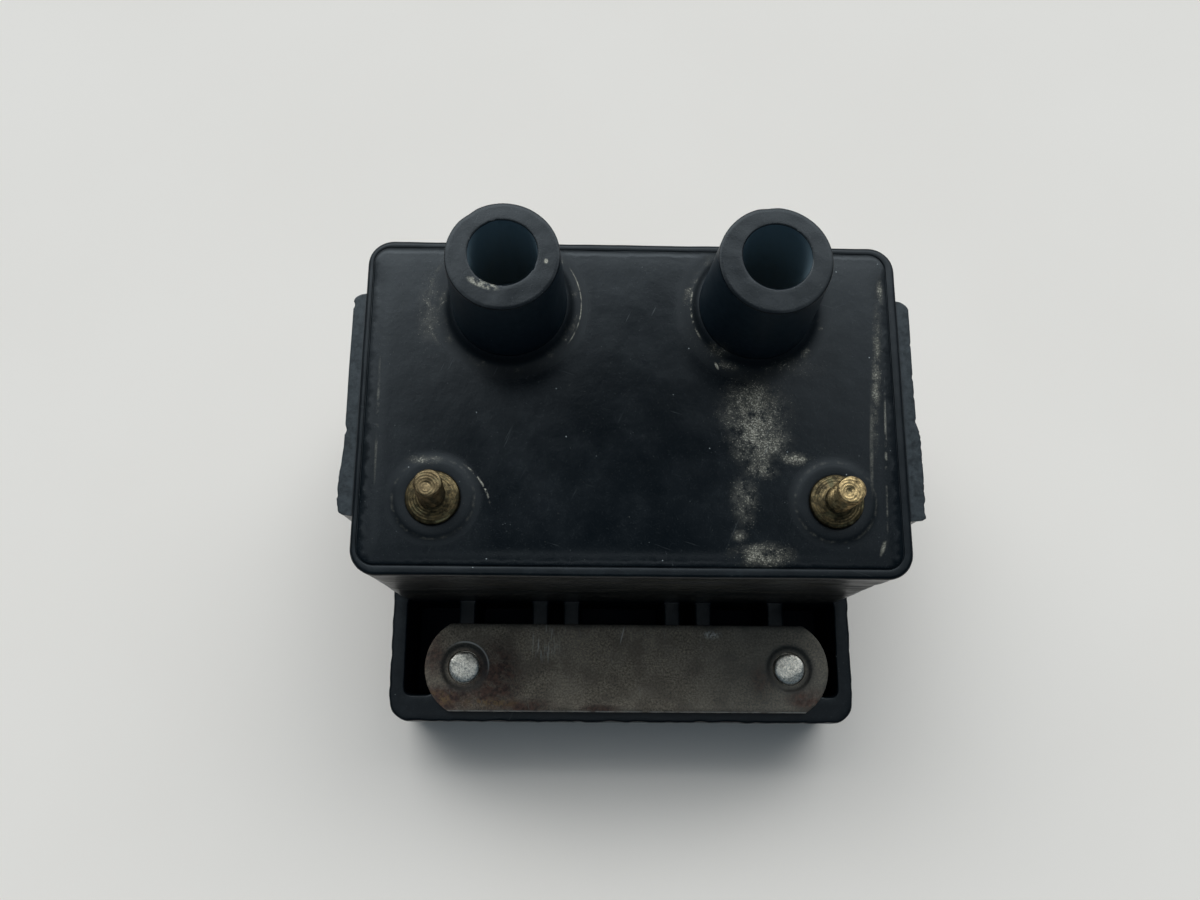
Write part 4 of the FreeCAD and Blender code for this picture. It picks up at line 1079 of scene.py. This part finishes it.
def make_pillar(side, steel):
    """Round pillar: tapped hole in the back, neck through the strap, peened head."""
    node = "mounting_pillar_" + side
    low, high = box_mm(node)
    centre = (low + high)[:2] / 2
    count = 72
    head, neck = high[2], 2.67
    shell = Shell()
    profile = [(0.5, 14.4), (1.6, 13.7), (2.55, 13.0)]
    pitch = 1.27
    profile += [(2.95, z) for z in span(13.0, 0.5, pitch / 8)]
    profile += [(3.2, 0.25), (3.35, 0.0), (4.2, 0.0), (4.48, 0.25), (4.48, FOOT_Z - 0.3), (4.3, FOOT_Z),
                (neck, FOOT_Z)]
    profile += [(neck, z) for z in span(FOOT_Z, head - 0.55, 0.3)]
    profile += [(neck - 0.05, head - 0.42), (neck - 0.2, head - 0.27), (2.1, head - 0.15), (1.6, head - 0.08),
                (1.1, head - 0.03), (0.6, head - 0.01), (0.25, head)]
    angle = round_angles(count)
    rings = []
    for radius, z in profile:
        r = np.full(count, radius)
        at = polar((centre[0], 0.0), radius, z, count)
        if radius == 2.95 and z < 12.6:
            r = r + thread(angle, z, pitch, 0.4)
        if z > head - 0.6:
            r = r * (1 - 0.025 * wobble(at, 1.5))
        ring = polar(centre, r, z, count)
        if z > head - 0.3:
            ring[:, 2] -= 0.16 * wobble(ring, 1.0) * min(1.0, (neck - radius) + 0.3)
        rings.append(ring)
    shell.solid(rings)
    pillar = new_object("pillar_" + side, shell.mesh("pillar_" + side, 45.0), steel)
    place(pillar, "steel_pillar", node)


# ---- Inside pieces: their CAD shapes, with materials of their own ----

def finish_inside():
    wires = simple("bare_copper", (0.38, 0.15, 0.07), (0.62, 0.30, 0.16), 1.5, 0.34, 0.95)
    tinned = simple("tinned_brass_lug", (0.36, 0.34, 0.30), (0.60, 0.58, 0.52), 1.2, 0.38, 0.9)
    contact = simple("contact_brass", (0.16, 0.11, 0.05), (0.36, 0.27, 0.13), 1.0, 0.42, 0.9)
    core = simple("laminated_steel", (0.06, 0.062, 0.07), (0.15, 0.15, 0.16), 3.0, 0.45, 0.75,
                  (0.5, "Y"), 0.08)
    plastic = simple("natural_moulding", (0.34, 0.25, 0.15), (0.48, 0.37, 0.24), 4.0, 0.5, depth=0.02)
    looks = {
        "potting_compound": simple("potting_resin", (0.010, 0.009, 0.008), (0.030, 0.025, 0.020), 5.0, 0.4),
        "primary_winding": simple("enamelled_wire", (0.20, 0.06, 0.025), (0.36, 0.13, 0.05), 2.0, 0.3, 0.7,
                                  (0.62, "X"), 0.25),
        "secondary_winding": simple("fine_wire", (0.17, 0.05, 0.02), (0.30, 0.10, 0.04), 1.5, 0.36, 0.6,
                                    (0.14, "X"), 0.05),
        "winding_insulation": simple("varnished_paper", (0.36, 0.26, 0.13), (0.56, 0.44, 0.26), 2.5, 0.55),
    }
    for node in frame["nodes"]:
        if node.startswith("core_"):
            looks[node] = core
        elif node.endswith("_bobbin"):
            looks[node] = plastic
        elif "_lead_" in node:
            looks[node] = wires
        elif "_lug_" in node:
            looks[node] = tinned
        elif node.startswith("ht_contact"):
            looks[node] = contact
    for node, look in looks.items():
        dress(frame["nodes"][node].data, look)


# ---- Floor, light and camera ----

def make_floor():
    size, cells = 1.6, 24
    work = bmesh.new()
    bmesh.ops.create_grid(work, x_segments=cells, y_segments=cells, size=size)
    data = bpy.data.meshes.new("floor")
    work.to_mesh(data)
    work.free()
    p = Paint("pale_table")
    tone = p.noise(60.0, 4, 0.5)
    colour = p.blend(p.step(tone, 0.3, 0.7), (0.824, 0.704, 0.614), (0.838, 0.718, 0.628))
    p.shader.inputs["Specular IOR Level"].default_value = 0.15
    floor = new_object("floor", data, p.finish(colour, 0.7))
    floor.location = (0, 0, -0.0001)


def make_light():
    """A dark room, one large soft light high beyond the part, weaker ones overhead and at the sides."""
    world = bpy.data.worlds.new("room")
    bpy.context.scene.world = world
    world.use_nodes = True
    g = Graph(world.node_tree)
    unit = g.node("VectorMath", {0: g.node("TexCoord").outputs["Generated"]}, operation="NORMALIZE")
    parts = g.node("SeparateXYZ", {0: unit.outputs[0]}).outputs

    def lobe(x, y, wide, deep, strength):
        """Light round the direction whose sideways and forward parts are x and y."""
        across, along = (g.math("POWER", g.math("DIVIDE", g.math("SUBTRACT", parts[axis], at), size), 2.0)
                         for axis, at, size in (("X", x, wide), ("Y", y, deep)))
        return g.times(g.math("EXPONENT", g.times(g.math("ADD", across, along), -1.0)), strength)

    shade = g.math("SUBTRACT", 1.0, lobe(0.05, 0.25, 0.16, 0.26, 0.93))
    above = g.math("SMOOTH_MIN", g.times(g.math("MAXIMUM", parts["Z"], 0.0), 2.4), 1.0)
    light = g.times(lobe(-0.045, 0.55, 0.58, 0.18, 9.2), shade, above)
    for other in ((0.03, -0.06, 0.24, 0.065, 2.2), (-0.28, 0.20, 0.10, 0.22, 2.0),
                  (0.32, 0.2, 0.10, 0.2, 1.4)):
        light = g.math("ADD", light, lobe(*other))
    bright = g.node("VectorMath", {0: LIGHT_COLOUR, "Scale": light}, operation="SCALE")
    everywhere = g.node("VectorMath", {0: bright.outputs[0], 1: ROOM_COLOUR}, operation="ADD")
    background = world.node_tree.nodes["Background"]
    g.put(background.inputs["Color"], everywhere.outputs[0])
    background.inputs["Strength"].default_value = 1.0


def make_camera():
    camera = bpy.data.cameras.new("camera")
    camera.lens = 30.1
    camera.sensor_width = 36.0
    camera.clip_start = 0.005
    thing = bpy.data.objects.new("camera", camera)
    bpy.context.scene.collection.objects.link(thing)
    thing.location = (-0.008, -0.0328, 0.2002)
    thing.rotation_euler = (0.245, -0.023, 0.006)
    bpy.context.scene.camera = thing
    bpy.context.scene.view_settings.view_transform = "Standard"


make_camera()
seat_line, seat_outward = make_case()
make_cover(seat_line, seat_outward)
make_strap()
peened = bright_steel()
for end in ("left", "right"):
    make_stud(end)
    make_pillar(end, peened)
finish_inside()
make_floor()
make_light()
